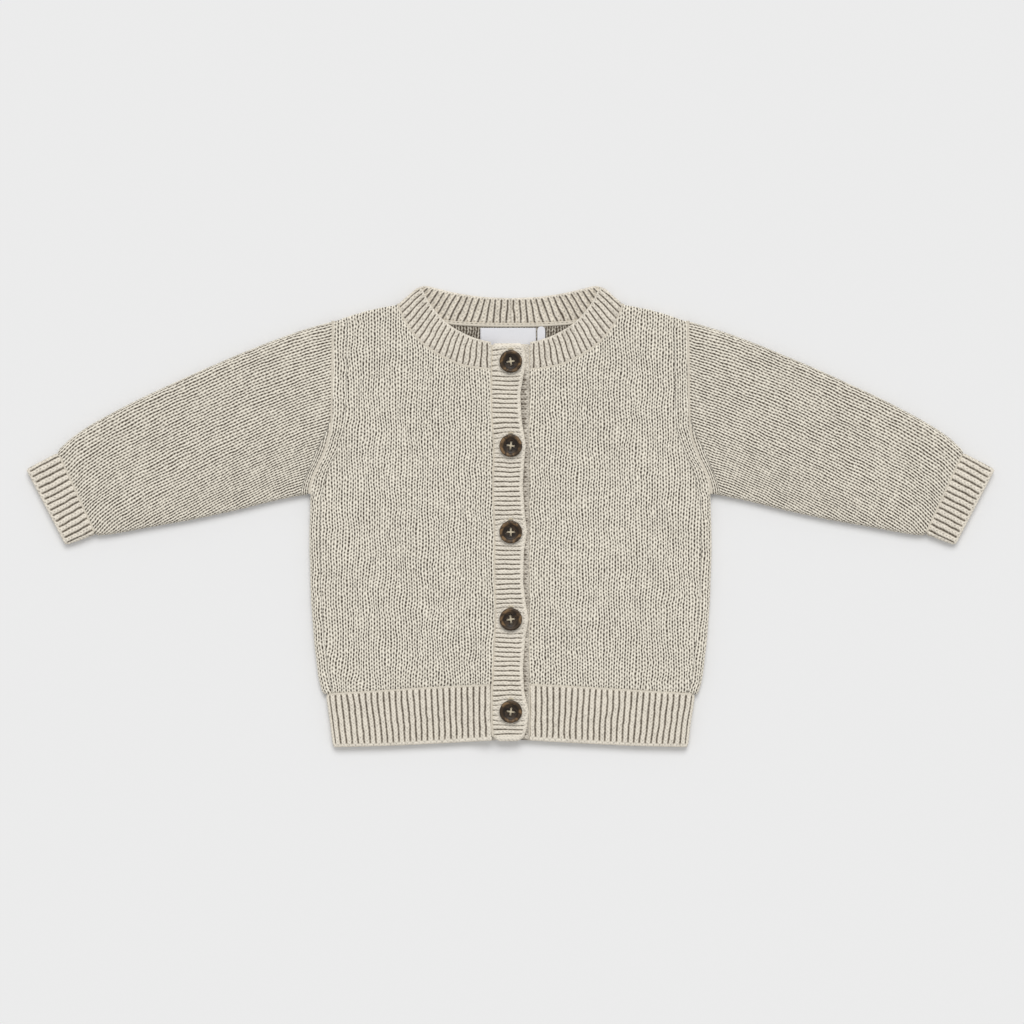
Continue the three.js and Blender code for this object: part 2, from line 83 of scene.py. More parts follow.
# outlines of the wearer's left half: across is x, along is y
sideEdge = [
    dict(across=0.1238, along=-0.1175), dict(across=0.1266, along=-0.1080),
    dict(across=0.1297, along=-0.0820), dict(across=0.1317, along=-0.0550),
    dict(across=0.1327, along=-0.0220), dict(across=0.1322, along=0.0080),
    dict(across=0.13195, along=0.0175), dict(across=0.1298, along=0.0250),
    dict(across=0.1224, along=0.0410), dict(across=0.1176, along=0.0560),
    dict(across=0.1172, along=0.0720), dict(across=0.1169, along=0.0940),
    dict(across=0.1165, along=0.1287)]
shoulderEdge = [
    dict(across=0.0743, along=0.1399), dict(across=0.0840, along=0.1383),
    dict(across=0.0950, along=0.1358), dict(across=0.1050, along=0.1328),
    dict(across=0.1165, along=0.1287)]
frontBandRows = [
    dict(seamAcross=0.0743, seamAlong=0.1399, freeAcross=0.0594, freeAlong=0.1525),
    dict(seamAcross=0.0710, seamAlong=0.1306, freeAcross=0.0546, freeAlong=0.1423),
    dict(seamAcross=0.0660, seamAlong=0.1226, freeAcross=0.0502, freeAlong=0.1359),
    dict(seamAcross=0.0587, seamAlong=0.1142, freeAcross=0.0436, freeAlong=0.1285),
    dict(seamAcross=0.0479, seamAlong=0.1065, freeAcross=0.0366, freeAlong=0.1234),
    dict(seamAcross=0.0336, seamAlong=0.0996, freeAcross=0.0266, freeAlong=0.1183),
    dict(seamAcross=0.0205, seamAlong=0.0972, freeAcross=0.0180, freeAlong=0.1155),
    dict(seamAcross=0.0129, seamAlong=0.0967, freeAcross=0.0129, freeAlong=0.1146)]
backBandRows = [
    dict(seamAcross=0.0743, seamAlong=0.1399, freeAcross=0.0594, freeAlong=0.1525),
    dict(seamAcross=0.0710, seamAlong=0.1372, freeAcross=0.0572, freeAlong=0.1523),
    dict(seamAcross=0.0660, seamAlong=0.1346, freeAcross=0.0536, freeAlong=0.1514),
    dict(seamAcross=0.0580, seamAlong=0.1316, freeAcross=0.0478, freeAlong=0.1498),
    dict(seamAcross=0.0400, seamAlong=0.1280, freeAcross=0.0350, freeAlong=0.1468),
    dict(seamAcross=0.0200, seamAlong=0.1268, freeAcross=0.0180, freeAlong=0.1443),
    dict(seamAcross=0.0, seamAlong=0.1266, freeAcross=0.0, freeAlong=0.1436)]
ribSeam = [dict(across=0.0, along=-0.1104), dict(across=0.06, along=-0.1135),
           dict(across=0.1238, along=-0.1175)]
hemSide = [dict(across=0.1172, along=-0.1525), dict(across=0.1194, along=-0.135),
           dict(across=0.1219, along=-0.1178)]
hemEdge = [dict(across=0.0, along=-0.1472), dict(across=0.04, along=-0.1496),
           dict(across=0.08, along=-0.1516), dict(across=0.1172, along=-0.1525)]
sleeveUpperEdge = [
    dict(across=0.11685, along=0.1286), dict(across=0.1420, along=0.1212),
    dict(across=0.1719, along=0.1098), dict(across=0.2089, along=0.0939),
    dict(across=0.2459, along=0.0768), dict(across=0.2736, along=0.0622),
    dict(across=0.2890, along=0.0522), dict(across=0.2987, along=0.0430)]
sleeveLowerEdge = [
    dict(across=0.1324, along=0.0144), dict(across=0.1535, along=0.0104),
    dict(across=0.1812, along=0.0034), dict(across=0.2089, along=-0.0026),
    dict(across=0.2366, along=-0.0074), dict(across=0.2620, along=-0.0122),
    dict(across=0.2729, along=-0.0132)]
cuffEnd = dict(upperAcross=0.3194, upperAlong=0.0312, lowerAcross=0.2929, lowerAlong=-0.0196)
buttonholeBandRows = [
    dict(along=0.1136, left=-0.0106, right=0.0064), dict(along=0.1118, left=-0.0123, right=0.0088),
    dict(along=0.1016, left=-0.0126, right=0.0104), dict(along=0.0920, left=-0.0126, right=0.0084),
    dict(along=0.0800, left=-0.0126, right=0.0065), dict(along=0.0630, left=-0.0122, right=0.0074),
    dict(along=0.0462, left=-0.0109, right=0.0102), dict(along=0.0340, left=-0.0111, right=0.0089),
    dict(along=0.0200, left=-0.0115, right=0.0081), dict(along=0.0020, left=-0.0109, right=0.0094),
    dict(along=-0.0106, left=-0.0104, right=0.0109), dict(along=-0.0240, left=-0.0105, right=0.0088),
    dict(along=-0.0440, left=-0.0104, right=0.0084), dict(along=-0.0580, left=-0.0099, right=0.0102),
    dict(along=-0.0680, left=-0.0098, right=0.0119), dict(along=-0.0800, left=-0.0104, right=0.0098),
    dict(along=-0.1000, left=-0.0113, right=0.0082), dict(along=-0.1150, left=-0.0120, right=0.0090),
    dict(along=-0.1287, left=-0.0121, right=0.0120), dict(along=-0.1400, left=-0.0119, right=0.0108),
    dict(along=-0.1462, left=-0.0112, right=0.0086), dict(along=-0.1483, left=-0.0070, right=0.0046)]

# a table read at many places: the corners between its rows are eased over a short width
def readTable(rows, keyName, valueName, key, ease=0.004):
    keys = np.array([row[keyName] for row in rows])
    values = np.array([row[valueName] for row in rows])
    order = np.argsort(keys)
    keys, values = keys[order], values[order]
    total = 0
    for shift in (-1, -0.5, 0, 0.5, 1):
        total = total + np.interp(key + shift * ease, keys, values)
    plain = np.interp(key, keys, values)
    nearEnd = np.minimum(np.abs(key - keys[0]), np.abs(key - keys[-1])) < ease
    return np.where(nearEnd, plain, total / 5)

def smooth(value, start=0.0, end=1.0):
    t = np.clip((value - start) / (end - start), 0, 1)
    return t * t * (3 - 2 * t)

def lerp(a, b, t):
    return a + (b - a) * t

# slow unevenness of hand-laid cloth: a few long waves with fixed random phases
waveTable = [dict(x=rng.uniform(20, 70), y=rng.uniform(20, 70), phase=rng.uniform(0, 6.28))
             for _ in range(9)]

def slowWaves(x, y, scale=1.0):
    total = 0
    for wave in waveTable:
        total = total + np.sin(scale * (wave["x"] * x * 2 + wave["y"] * y * 1.6) + wave["phase"])
    return total / len(waveTable)

# soft folds for the wearer's own sides (right is negative)
creaseTable = [
    dict(across=-0.104, along=-0.012, turn=38, length=0.046, width=0.0075, depth=0.00090),
    dict(across=-0.090, along=-0.034, turn=52, length=0.038, width=0.0090, depth=0.00060),
    dict(across=0.107, along=-0.016, turn=-34, length=0.042, width=0.0080, depth=0.00085),
    dict(across=0.094, along=-0.046, turn=-58, length=0.036, width=0.0085, depth=0.00055),
    dict(across=-0.112, along=0.058, turn=78, length=0.050, width=0.0060, depth=0.00060),
    dict(across=0.109, along=0.050, turn=-80, length=0.044, width=0.0065, depth=0.00070),
    dict(across=-0.030, along=-0.094, turn=8, length=0.040, width=0.0090, depth=0.00045),
    dict(across=0.036, along=0.020, turn=-70, length=0.060, width=0.0100, depth=0.00045),
    dict(across=-0.158, along=0.040, turn=62, length=0.050, width=0.0080, depth=0.00080),
    dict(across=-0.205, along=0.034, turn=-18, length=0.070, width=0.0090, depth=0.00050),
    dict(across=0.154, along=0.046, turn=-58, length=0.046, width=0.0075, depth=0.00085),
    dict(across=0.214, along=0.030, turn=24, length=0.064, width=0.0085, depth=0.00055),
    dict(across=0.262, along=0.028, turn=60, length=0.030, width=0.0060, depth=0.00060),
    dict(across=-0.268, along=0.020, turn=-64, length=0.028, width=0.0060, depth=0.00055)]

def creases(x, y):
    total = 0
    for row in creaseTable:
        turn = math.radians(row["turn"])
        dx, dy = x - row["across"], y - row["along"]
        a = (dx * math.cos(turn) + dy * math.sin(turn)) / (row["length"] / 2)
        b = (dy * math.cos(turn) - dx * math.sin(turn)) / row["width"]
        window = np.exp(-a ** 4)
        total = total + row["depth"] * window * (0.55 * np.exp(-(b - 1.3) ** 2) - np.exp(-b ** 2))
    return total

# small unevenness: smooth noise on a lattice of the given cell size, from -1 to 1
lattice = rng.uniform(-1, 1, (256, 256))

def loose(x, y, cell):
    gx, gy = x / cell + 300, y / cell + 300
    ix, iy = np.floor(gx).astype(int), np.floor(gy).astype(int)
    fx, fy = smooth(gx - ix), smooth(gy - iy)
    def corner(dx, dy):
        return lattice[(ix + dx) % 256, (iy + dy) % 256]
    return lerp(lerp(corner(0, 0), corner(1, 0), fx), lerp(corner(0, 1), corner(1, 1), fx), fy)

def loosened(wale, course, x, y, amount):
    wale = wale + amount * (0.18 * loose(x, y, 0.0042) + 0.24 * loose(y + 5, x, 0.013))
    course = course + amount * (0.34 * loose(x + 3, y, 0.0038) + 0.40 * loose(y, x + 7, 0.015))
    return wale, course

# height of the yarn, 0 in a hole and 1 on top of a leg; wale and course count stitches
def plainRelief(wale, course):
    m = np.abs(wale - np.floor(wale) - 0.5)
    leg = np.sin(2 * np.pi * m)
    swell = np.cos(2 * np.pi * (course - 1.1 * m))
    return np.clip(0.12 + 0.74 * leg + 0.14 * swell, 0, 1)

def ribRelief(wale, course, groove):
    m = np.abs(wale - np.floor(wale) - 0.5)
    crown = 1 - smooth(m, 0.14, 0.5) ** 1.2
    crease = 0.14 * (1 - smooth(m, 0.0, 0.12))
    twist = 0.08 * np.cos(2 * np.pi * (course - 1.6 * m))
    return lerp(0.72, crown - crease, groove) + twist

def addMesh(name, points, faces, stitch, groove, material, shade=None):
    mesh = bpy.data.meshes.new(name)
    mesh.from_pydata(points, [], faces)
    corners = np.empty(len(mesh.loops), dtype=np.int64)
    mesh.loops.foreach_get("vertex_index", corners)
    uv = mesh.uv_layers.new(name="stitches")
    uv.data.foreach_set("uv", stitch[corners].astype(np.float32).ravel())
    depth = mesh.attributes.new("groove", "FLOAT", "POINT")
    depth.data.foreach_set("value", groove.astype(np.float32))
    if shade is not None:
        darker = mesh.attributes.new("shade", "FLOAT", "POINT")
        darker.data.foreach_set("value", shade.astype(np.float32))
    mesh.polygons.foreach_set("use_smooth", np.ones(len(mesh.polygons), dtype=bool))
    mesh.materials.append(material)
    mesh.validate()
    piece = bpy.data.objects.new(name, mesh)
    bpy.context.collection.objects.link(piece)
    return piece

# A closed wall between a fine outer grid and an inner grid with every step-th row and column.
# stitch is the outer grid's (wale, course), groove how deep its ribs are.
def shellPiece(name, outer, inner, stitch, groove, material, step=4, isTube=False, flip=False,
               shade=None, innerShade=0.0):
    rowCount, columnCount = outer.shape[:2]
    rowStops = np.arange(0, rowCount, step)
    columnStops = np.arange(0, columnCount, step)
    innerRows, innerColumns = len(rowStops), len(columnStops)
    base = rowCount * columnCount
    def at(r, c):
        return r * columnCount + c % columnCount
    def innerAt(r, c):
        return base + r * innerColumns + c % innerColumns
    def quads(index, rows, columns):
        lastColumn = columns if isTube else columns - 1
        r, c = np.meshgrid(np.arange(rows - 1), np.arange(lastColumn), indexing="ij")
        r, c = r.ravel(), c.ravel()
        return np.stack([index(r, c), index(r, c + 1), index(r + 1, c + 1), index(r + 1, c)], axis=1)
    outerFaces = quads(at, rowCount, columnCount)
    innerFaces = quads(innerAt, innerRows, innerColumns)[:, ::-1]
    faces = outerFaces.tolist() + innerFaces.tolist()
    columnSpans = innerColumns if isTube else innerColumns - 1
    for i in range(columnSpans):
        run = [i * step + k for k in range(step + 1)]
        faces.append([at(0, c) for c in reversed(run)] + [innerAt(0, i), innerAt(0, i + 1)])
        faces.append([at(rowCount - 1, c) for c in run]
                     + [innerAt(innerRows - 1, i + 1), innerAt(innerRows - 1, i)])
    if not isTube:
        for i in range(innerRows - 1):
            run = [i * step + k for k in range(step + 1)]
            faces.append([at(r, 0) for r in run] + [innerAt(i + 1, 0), innerAt(i, 0)])
            faces.append([at(r, columnCount - 1) for r in reversed(run)]
                         + [innerAt(i, innerColumns - 1), innerAt(i + 1, innerColumns - 1)])
    points = np.concatenate([outer.reshape(-1, 3), inner.reshape(-1, 3)])
    pick = np.ix_(rowStops, columnStops)
    stitchAll = np.concatenate([stitch.reshape(-1, 2), stitch[pick].reshape(-1, 2)])
    grooveAll = np.concatenate([groove.ravel(), groove[pick].ravel()])
    if flip:
        faces = [face[::-1] for face in faces]
    if shade is None:
        shade = np.zeros(groove.shape)
    shadeAll = np.concatenate([shade.ravel(), np.full(innerRows * innerColumns, innerShade)])
    return addMesh(name, points.tolist(), faces, stitchAll, grooveAll, material, shadeAll)

def placed(piece, node=None):
    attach(piece, "root")
    if node:
        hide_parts(node)
    return piece

def clothPiece(piece, node):
    placed(piece, node)
    return piece

# the knit's shader groups and materials

class Nodes:
    def __init__(self, tree):
        self.tree = tree
    def add(self, kind, **values):
        node = self.tree.nodes.new(kind)
        for key, value in values.items():
            setattr(node, key, value)
        return node
    def link(self, source, target):
        if hasattr(source, "links"):
            self.tree.links.new(source, target)
        else:
            target.default_value = source
    def calc(self, operation, *inputs):
        node = self.add("ShaderNodeMath", operation=operation.upper())
        for value, socket in zip(inputs, node.inputs):
            self.link(value, socket)
        return node.outputs[0]
    def ease(self, value, low, high):
        node = self.add("ShaderNodeMapRange", interpolation_type="SMOOTHSTEP")
        self.link(value, node.inputs["Value"])
        node.inputs["From Min"].default_value = low
        node.inputs["From Max"].default_value = high
        return node.outputs["Result"]
    def noise(self, place, scale, **inputs):
        node = self.add("ShaderNodeTexNoise")
        node.inputs["Scale"].default_value = scale
        for key, value in inputs.items():
            node.inputs[key].default_value = value
        self.link(place, node.inputs["Vector"])
        return node.outputs[0]
    def chance(self, x, y):
        cell = self.add("ShaderNodeCombineXYZ")
        self.link(x, cell.inputs[0])
        self.link(y, cell.inputs[1])
        node = self.add("ShaderNodeTexWhiteNoise", noise_dimensions="2D")
        self.link(cell.outputs[0], node.inputs["Vector"])
        return node.outputs["Value"]
    def mix(self, factor, first, second):
        node = self.add("ShaderNodeMix", data_type="RGBA")
        self.link(factor, node.inputs["Factor"])
        self.link(first, node.inputs["A"])
        self.link(second, node.inputs["B"])
        return node.outputs["Result"]
    def bump(self, height, distance, strength=1.0):
        node = self.add("ShaderNodeBump")
        node.inputs["Distance"].default_value = distance
        node.inputs["Strength"].default_value = strength
        self.link(height, node.inputs["Height"])
        return node.outputs[0]

def newMaterial(name, settings):
    material = bpy.data.materials.new(name)
    material.use_nodes = True
    shader = material.node_tree.nodes["Principled BSDF"]
    for key, value in settings.items():
        shader.inputs[key].default_value = value
    return material, Nodes(material.node_tree), shader

def newGroup(name, inputs, outputs):
    group = bpy.data.node_groups.new(name, "ShaderNodeTree")
    for socketName, kind in inputs:
        group.interface.new_socket(socketName, in_out="INPUT", socket_type=kind)
    for socketName, kind in outputs:
        group.interface.new_socket(socketName, in_out="OUTPUT", socket_type=kind)
    nodes = Nodes(group)
    return group, nodes, nodes.add("NodeGroupInput"), nodes.add("NodeGroupOutput")

# yarn: from the stitch count, how deep a place lies between the legs, which sets the painted shade there and
# in rib grooves, and the height for a bump
def stitchGroup():
    group, n, given, result = newGroup(
        "knitStitches",
        [("Wale", "NodeSocketFloat"), ("Course", "NodeSocketFloat"), ("Rib", "NodeSocketFloat"),
         ("Groove", "NodeSocketFloat"), ("Side", "NodeSocketFloat"),
         ("Line", "NodeSocketFloat")],
        [("Hole", "NodeSocketFloat"), ("Height", "NodeSocketFloat")])
    wale, course, rib, groove = [given.outputs[k] for k in range(4)]
    m = n.calc("absolute", n.calc("subtract", n.calc("fract", wale), 0.5))
    c = n.calc("subtract", n.calc("fract", course), 0.5)
    inDot = n.calc("multiply_add", n.calc("cosine", n.calc("multiply", c, 2 * math.pi)), 0.5, 0.5)
    chance = n.chance(n.calc("floor", wale), n.calc("floor", course))
    uneven = n.calc("multiply_add", chance, 0.7, 0.66)
    dotted = n.calc("subtract", 1.0, given.outputs["Line"])
    evened = n.calc("multiply", n.calc("subtract", inDot, 0.55), dotted)
    heart = n.calc("multiply", n.ease(m, 0.20, 0.02), n.calc("multiply_add", evened, 1.0, 0.98))
    side = n.calc("multiply", n.ease(m, 0.31, 0.48), n.calc("multiply_add", evened, -0.75, 0.72))
    slant = n.calc("subtract", course, n.calc("multiply", m, 1.1))
    swell = n.calc("cosine", n.calc("multiply", slant, 2 * math.pi))
    legGap = n.calc("multiply", n.ease(swell, 0.0, -1.0), 0.22)
    lines = n.calc("add", heart, n.calc("multiply", side, given.outputs["Side"]))
    plainHole = n.calc("multiply_add", lines, uneven, legGap)
    plainHeight = n.calc("subtract", 1.0, plainHole)
    ribSlant = n.calc("subtract", course, n.calc("multiply", m, 1.6))
    ribSwell = n.calc("cosine", n.calc("multiply", ribSlant, 2 * math.pi))
    grooveMask = n.calc("multiply", n.ease(m, 0.27, 0.48), groove)
    crease = n.calc("multiply", n.ease(m, 0.11, 0.0), 0.34)
    creased = n.calc("multiply", crease, n.calc("multiply_add", ribSwell, -0.5, 0.5))
    ribHole = n.calc("add", grooveMask, creased)
    ribHole = n.calc("add", ribHole, n.calc("multiply", n.ease(ribSwell, 0.2, -1.0), 0.16))
    ribHeight = n.calc("subtract", n.calc("multiply_add", ribSwell, 0.12, 0.85), ribHole)
    for name, plain, ribbed in (("Hole", plainHole, ribHole), ("Height", plainHeight, ribHeight)):
        difference = n.calc("subtract", ribbed, plain)
        n.link(n.calc("multiply_add", difference, rib, plain), result.inputs[name])
    return group

# yarn colour: flecked, with hairy noise, with painted shade between the legs, in rib grooves and where the
# shade attribute adds it; the dark colour serves both the painted shade and the darker flecks
def yarnGroup():
    group, n, given, result = newGroup(
        "yarnColour",
        [("Light", "NodeSocketColor"), ("ShadeAndFleck", "NodeSocketColor"), ("Hole", "NodeSocketFloat"),
         ("Fleck", "NodeSocketFloat"), ("Wale", "NodeSocketFloat"), ("Course", "NodeSocketFloat")],
        [("Color", "NodeSocketColor"), ("Fuzz", "NodeSocketFloat")])
    place = n.add("ShaderNodeTexCoord").outputs["Object"]
    hair = n.noise(place, 2400, Detail=3)
    heather = n.noise(place, 950, Detail=4)
    cloud = n.noise(place, 22)
    own = n.chance(given.outputs["Wale"], given.outputs["Course"])
    shade = 0.0
    for source, strength in ((heather, given.outputs["Fleck"]), (cloud, 0.12), (own, 0.20), (hair, 0.5)):
        change = n.calc("multiply", n.calc("subtract", source, 0.5), strength)
        shade = n.calc("add", shade, change)
    deep = n.calc("subtract", given.outputs["Hole"], shade)
    factor = n.calc("minimum", n.calc("maximum", deep, 0.0), 1.0)
    n.link(n.mix(factor, given.outputs["Light"], given.outputs["ShadeAndFleck"]), result.inputs["Color"])
    n.link(hair, result.inputs["Fuzz"])
    return group

def srgb(r, g, b):
    def channel(value):
        value = value / 255
        return value / 12.92 if value <= 0.04045 else ((value + 0.055) / 1.055) ** 2.4
    return (channel(r), channel(g), channel(b), 1)

knitStitches = stitchGroup()
yarnColour = yarnGroup()

wool = {"Roughness": 0.92, "Specular IOR Level": 0.2, "Sheen Weight": 0.12, "Sheen Roughness": 0.5}

def knitMaterial(name, look):
    material, n, shader = newMaterial(name, wool)
    uv = n.add("ShaderNodeUVMap", uv_map="stitches")
    split = n.add("ShaderNodeSeparateXYZ")
    n.link(uv.outputs[0], split.inputs[0])
    groove = n.add("ShaderNodeAttribute", attribute_name="groove")
    stitches = n.add("ShaderNodeGroup", node_tree=knitStitches)
    n.link(split.outputs["X"], stitches.inputs["Wale"])
    n.link(split.outputs["Y"], stitches.inputs["Course"])
    n.link(groove.outputs["Fac"], stitches.inputs["Groove"])
    stitches.inputs["Rib"].default_value = look["rib"]
    stitches.inputs["Side"].default_value = look.get("side", 1.0)
    stitches.inputs["Line"].default_value = look.get("line", 0.0)
    yarn = n.add("ShaderNodeGroup", node_tree=yarnColour)
    yarn.inputs["Light"].default_value = look["light"]
    yarn.inputs["ShadeAndFleck"].default_value = look["dark"]
    yarn.inputs["Fleck"].default_value = look["fleck"]
    # the shade attribute adds painted shade to pieces that lie in shade, and lightens the buttonhole band a
    # little
    shade = n.add("ShaderNodeAttribute", attribute_name="shade")
    hole = n.calc("multiply_add", stitches.outputs["Hole"], look["holeShadeStrength"], shade.outputs["Fac"])
    n.link(hole, yarn.inputs["Hole"])
    n.link(n.calc("snap", split.outputs["X"], 0.5), yarn.inputs["Wale"])
    n.link(n.calc("snap", split.outputs["Y"], 1.0), yarn.inputs["Course"])
    n.link(yarn.outputs["Color"], shader.inputs["Base Color"])
    height = n.calc("multiply_add", yarn.outputs["Fuzz"], look["fuzz"], stitches.outputs["Height"])
    n.link(n.bump(height, look["bump"], 0.8), shader.inputs["Normal"])
    return material

yarnLight = srgb(252, 245, 229)
# dark end of the yarn colour: painted shade in holes, grooves and shaded pieces, and the darker flecks
shadeAndFleckColour = srgb(90, 79, 66)
ribLight = srgb(240, 232, 217)
bodyYarn = {"rib": 0, "light": yarnLight, "dark": shadeAndFleckColour, "fleck": 0.8, "holeShadeStrength": 0.92,
            "bump": 0.0006, "fuzz": 0.35, "side": 0.85}
sleeveYarn = dict(bodyYarn, fleck=0.7, side=1.12, line=0.5)
seamThread = {"rib": 0, "light": srgb(214, 206, 191), "dark": shadeAndFleckColour, "fleck": 0.3, "holeShadeStrength": 0.0,
              "bump": 0.0004, "fuzz": 0.6}
ribYarn = {"rib": 1, "light": ribLight, "dark": shadeAndFleckColour, "fleck": 0.9, "holeShadeStrength": 0.9,
           "bump": 0.0005, "fuzz": 0.4}
bodyKnit = knitMaterial("bodyKnit", bodyYarn)
sleeveKnit = knitMaterial("sleeveKnit", sleeveYarn)
seamYarn = knitMaterial("seamYarn", seamThread)
ribKnit = knitMaterial("ribKnit", ribYarn)
print("knit materials made")

# the body panels and the hem

def bandLift(x):
    return cloth["lapRise"] * smooth(x, -0.0123 - cloth["lapRamp"], -0.0123)

def endAtButtonhole(along):
    return 0.0006 - readTable(buttonholeBandRows, "along", "left", np.clip(along, -0.14, 0.1016))

def endAtButton(along):
    return 0.0126 + 0 * along

# One half of a panel. u runs from the middle to the side and v from the hem to the neck; depth is
# how far below the outer face a point lies. Returns points in the lower layer's frame.
def panelPoints(spec, u, v, depth):
    width = foldRadius * math.pi / 2
    stop = lerp(0.0126 if spec["isHalf"] else 0.0, 0.1165, u)
    isShoulder = smooth(stop, 0.0725, 0.0743) if spec["hasShoulder"] else 0 * stop
    bottom, top = spec["bottom"](stop), spec["top"](stop)
    straight = top - foldRadius - bottom
    length = lerp(top - bottom, straight + width, isShoulder)
    distance = v * length
    angleTop = np.pi / 2 - np.clip((distance - straight) / foldRadius, 0, np.pi / 2) * isShoulder
    rolledTop = top - foldRadius + (foldRadius - depth) * np.cos(angleTop)
    y = np.where(distance > straight, lerp(bottom + distance, rolledTop, isShoulder), bottom + distance)
    sideY = lerp(spec["bottom"](0.1165 + 0 * stop), spec["top"](0.1165 + 0 * stop), v)
    side, middle = spec["side"](sideY), spec["middle"](y)
    rollShare = spec["sideRoll"](sideY)
    straightAcross = side - foldRadius - middle
    reach = u * lerp(side - middle, straightAcross + width, rollShare)
    angleSide = np.pi / 2 - np.clip((reach - straightAcross) / foldRadius, 0, np.pi / 2) * rollShare
    rolledSide = side - foldRadius + (foldRadius - depth) * np.cos(angleSide)
    x = np.where(reach > straightAcross, lerp(middle + reach, rolledSide, rollShare), middle + reach)
    lean = np.minimum(np.sin(angleTop), np.sin(angleSide))
    fromSide = (1 - u) * lerp(side - middle, straightAcross + width, rollShare)
    return x, y, foldRadius - (foldRadius - depth) * lean, fromSide

def bodyTop(bandRows):
    def top(stop):
        neck = readTable(bandRows, "seamAcross", "seamAlong", stop, 0.002)
        shoulder = readTable(shoulderEdge, "across", "along", stop)
        return np.where(stop >= 0.0743, shoulder, neck)
    return top

def bodySpec(bandRows, middle, isHalf):
    return {"isHalf": isHalf, "hasShoulder": True, "middle": middle,
            "side": lambda along: readTable(sideEdge, "along", "across", along),
            "bottom": lambda stop: readTable(ribSeam, "across", "along", stop * 1.0627),
            "top": bodyTop(bandRows),
            "sideRoll": lambda along: 1 - smooth(along, 0.008, 0.0175)}

def hemSpec(middle, isHalf):
    return {"isHalf": isHalf, "hasShoulder": False, "middle": middle,
            "side": lambda along: readTable(hemSide, "along", "across", along),
            "bottom": lambda stop: readTable(hemEdge, "across", "along", stop * 1.006),
            "top": lambda stop: readTable(ribSeam, "across", "along", stop * 1.0463) - 0.0004,
            "sideRoll": lambda along: 1 + 0 * along}

def grid(count, start=0.0, end=1.0):
    return np.linspace(start, end, count)

# look["across"] and look["along"] are points per stitch; side is 1 on the wearer's left, -1 on the
# right and 0 for a piece that spans both
def makePanel(name, spec, size, look, side, onTop, step=4):
    wales, courses = size["wales"], size["courses"]
    columnCount = int(round(wales * look["across"] / step)) * step + 1
    rowCount = int(round(courses * look["along"] / step)) * step + 1
    if side == 0:
        own = grid(columnCount, -1, 1)
        sign = np.where(own < 0, -1.0, 1.0)
    else:
        own = grid(columnCount)
        sign = np.full(columnCount, float(side))
    u, v = np.meshgrid(own, grid(rowCount))
    sign = np.broadcast_to(sign, u.shape)
    x0, y0, _, fromSide = panelPoints(spec, np.abs(u), v, 0.0)
    if look["rib"]:
        wale = u * wales * (0.5 if side == 0 else 1)
        course = v * courses
    else:
        # columns run straight up, and two of them follow the shaped side
        upright = x0 / gauge["bodyWale"] + look["wander"] * slowWaves(x0 * sign, y0, 1.4)
        wale = np.where(fromSide < 2.5 * gauge["bodyWale"], 0.5 - fromSide / gauge["bodyWale"], upright)
        course = y0 / gauge["bodyCourse"] + 0.8 * slowWaves(y0, x0 * sign, 0.9)
    wale, course = loosened(wale, course, x0 * sign, y0, look["loose"])
    edge = y0 - spec["bottom"](0.1165 * np.abs(u))
    groove = smooth(edge, 0.0012, 0.0026) if look["rib"] else np.ones(u.shape)
    if look["rib"]:
        relief = ribRelief(wale, course, groove)
        deepest = reliefDepth["rib"]
    else:
        relief = plainRelief(wale, course)
        deepest = reliefDepth["plain"]
    deepest = deepest * np.ones(u.shape)
    depth = (1 - relief) * deepest
    rounding = smooth(np.minimum(v, 1 - v) * courses, 0, 0.8)
    depth = depth + 0.0007 * (1 - rounding)
    def place(d):
        x, y, z = panelPoints(spec, np.abs(u), v, d)[:3]
        x = x * sign
        if onTop:
            lift = bandLift(x) if side < 0 else 0
            swell = 0.0004 * slowWaves(x, y, 0.8) + creases(x, y) if look["swell"] else 0
            z = cloth["stack"] - z + lift + swell
        return np.stack([x, y, z], axis=-1)
    outer = place(depth)
    inner = place(np.full(u.shape, cloth["thickness"]))[::step, ::step]
    flip = (side == -1) != (not onTop)
    return shellPiece(name, outer, inner, np.stack([wale, course], axis=-1), groove, look["material"],
                      step, flip=flip, innerShade=look.get("innerShade", 0.0))

plainLook = {"across": 8, "along": 3, "wander": 0.45, "loose": 0.75, "rib": False,
             "material": bodyKnit, "swell": True}
sleeveLook = dict(plainLook, wander=0.25, loose=0.4, material=sleeveKnit)
# innerShade is painted shade on the back's inner face, which shows in the neck opening under the neckband
backLook = dict(plainLook, across=3, along=2, swell=False, innerShade=0.55)
ribLook = {"across": 8, "along": 2, "wander": 0.12, "loose": 0.35, "rib": True,
           "material": ribKnit, "swell": False}
backRibLook = dict(ribLook, across=6)

bodySize = {"wales": 34, "courses": 92}
back = makePanel("back_panel", bodySpec(backBandRows, lambda along: 0 * along, False),
                 {"wales": 2 * 37, "courses": 95}, backLook, 0, False)
clothPiece(back, "back")
hemBack = makePanel("back_hem", hemSpec(lambda along: 0 * along, False),
                    {"wales": 64, "courses": 15}, backRibLook, 0, False)
clothPiece(hemBack, "hem_back")
for sideName, side, middle in (("right", -1, endAtButtonhole), ("left", 1, endAtButton)):
    front = makePanel("front_panel_" + sideName, bodySpec(frontBandRows, middle, True), bodySize, plainLook,
                      side, True)
    clothPiece(front, "front_" + sideName)
    hem = makePanel("front_hem_" + sideName, hemSpec(middle, True), {"wales": 28, "courses": 15}, ribLook,
                    side, True)
    clothPiece(hem, "hem_front_" + sideName)
print("body panels and hem knitted")

# the sleeves and cuffs

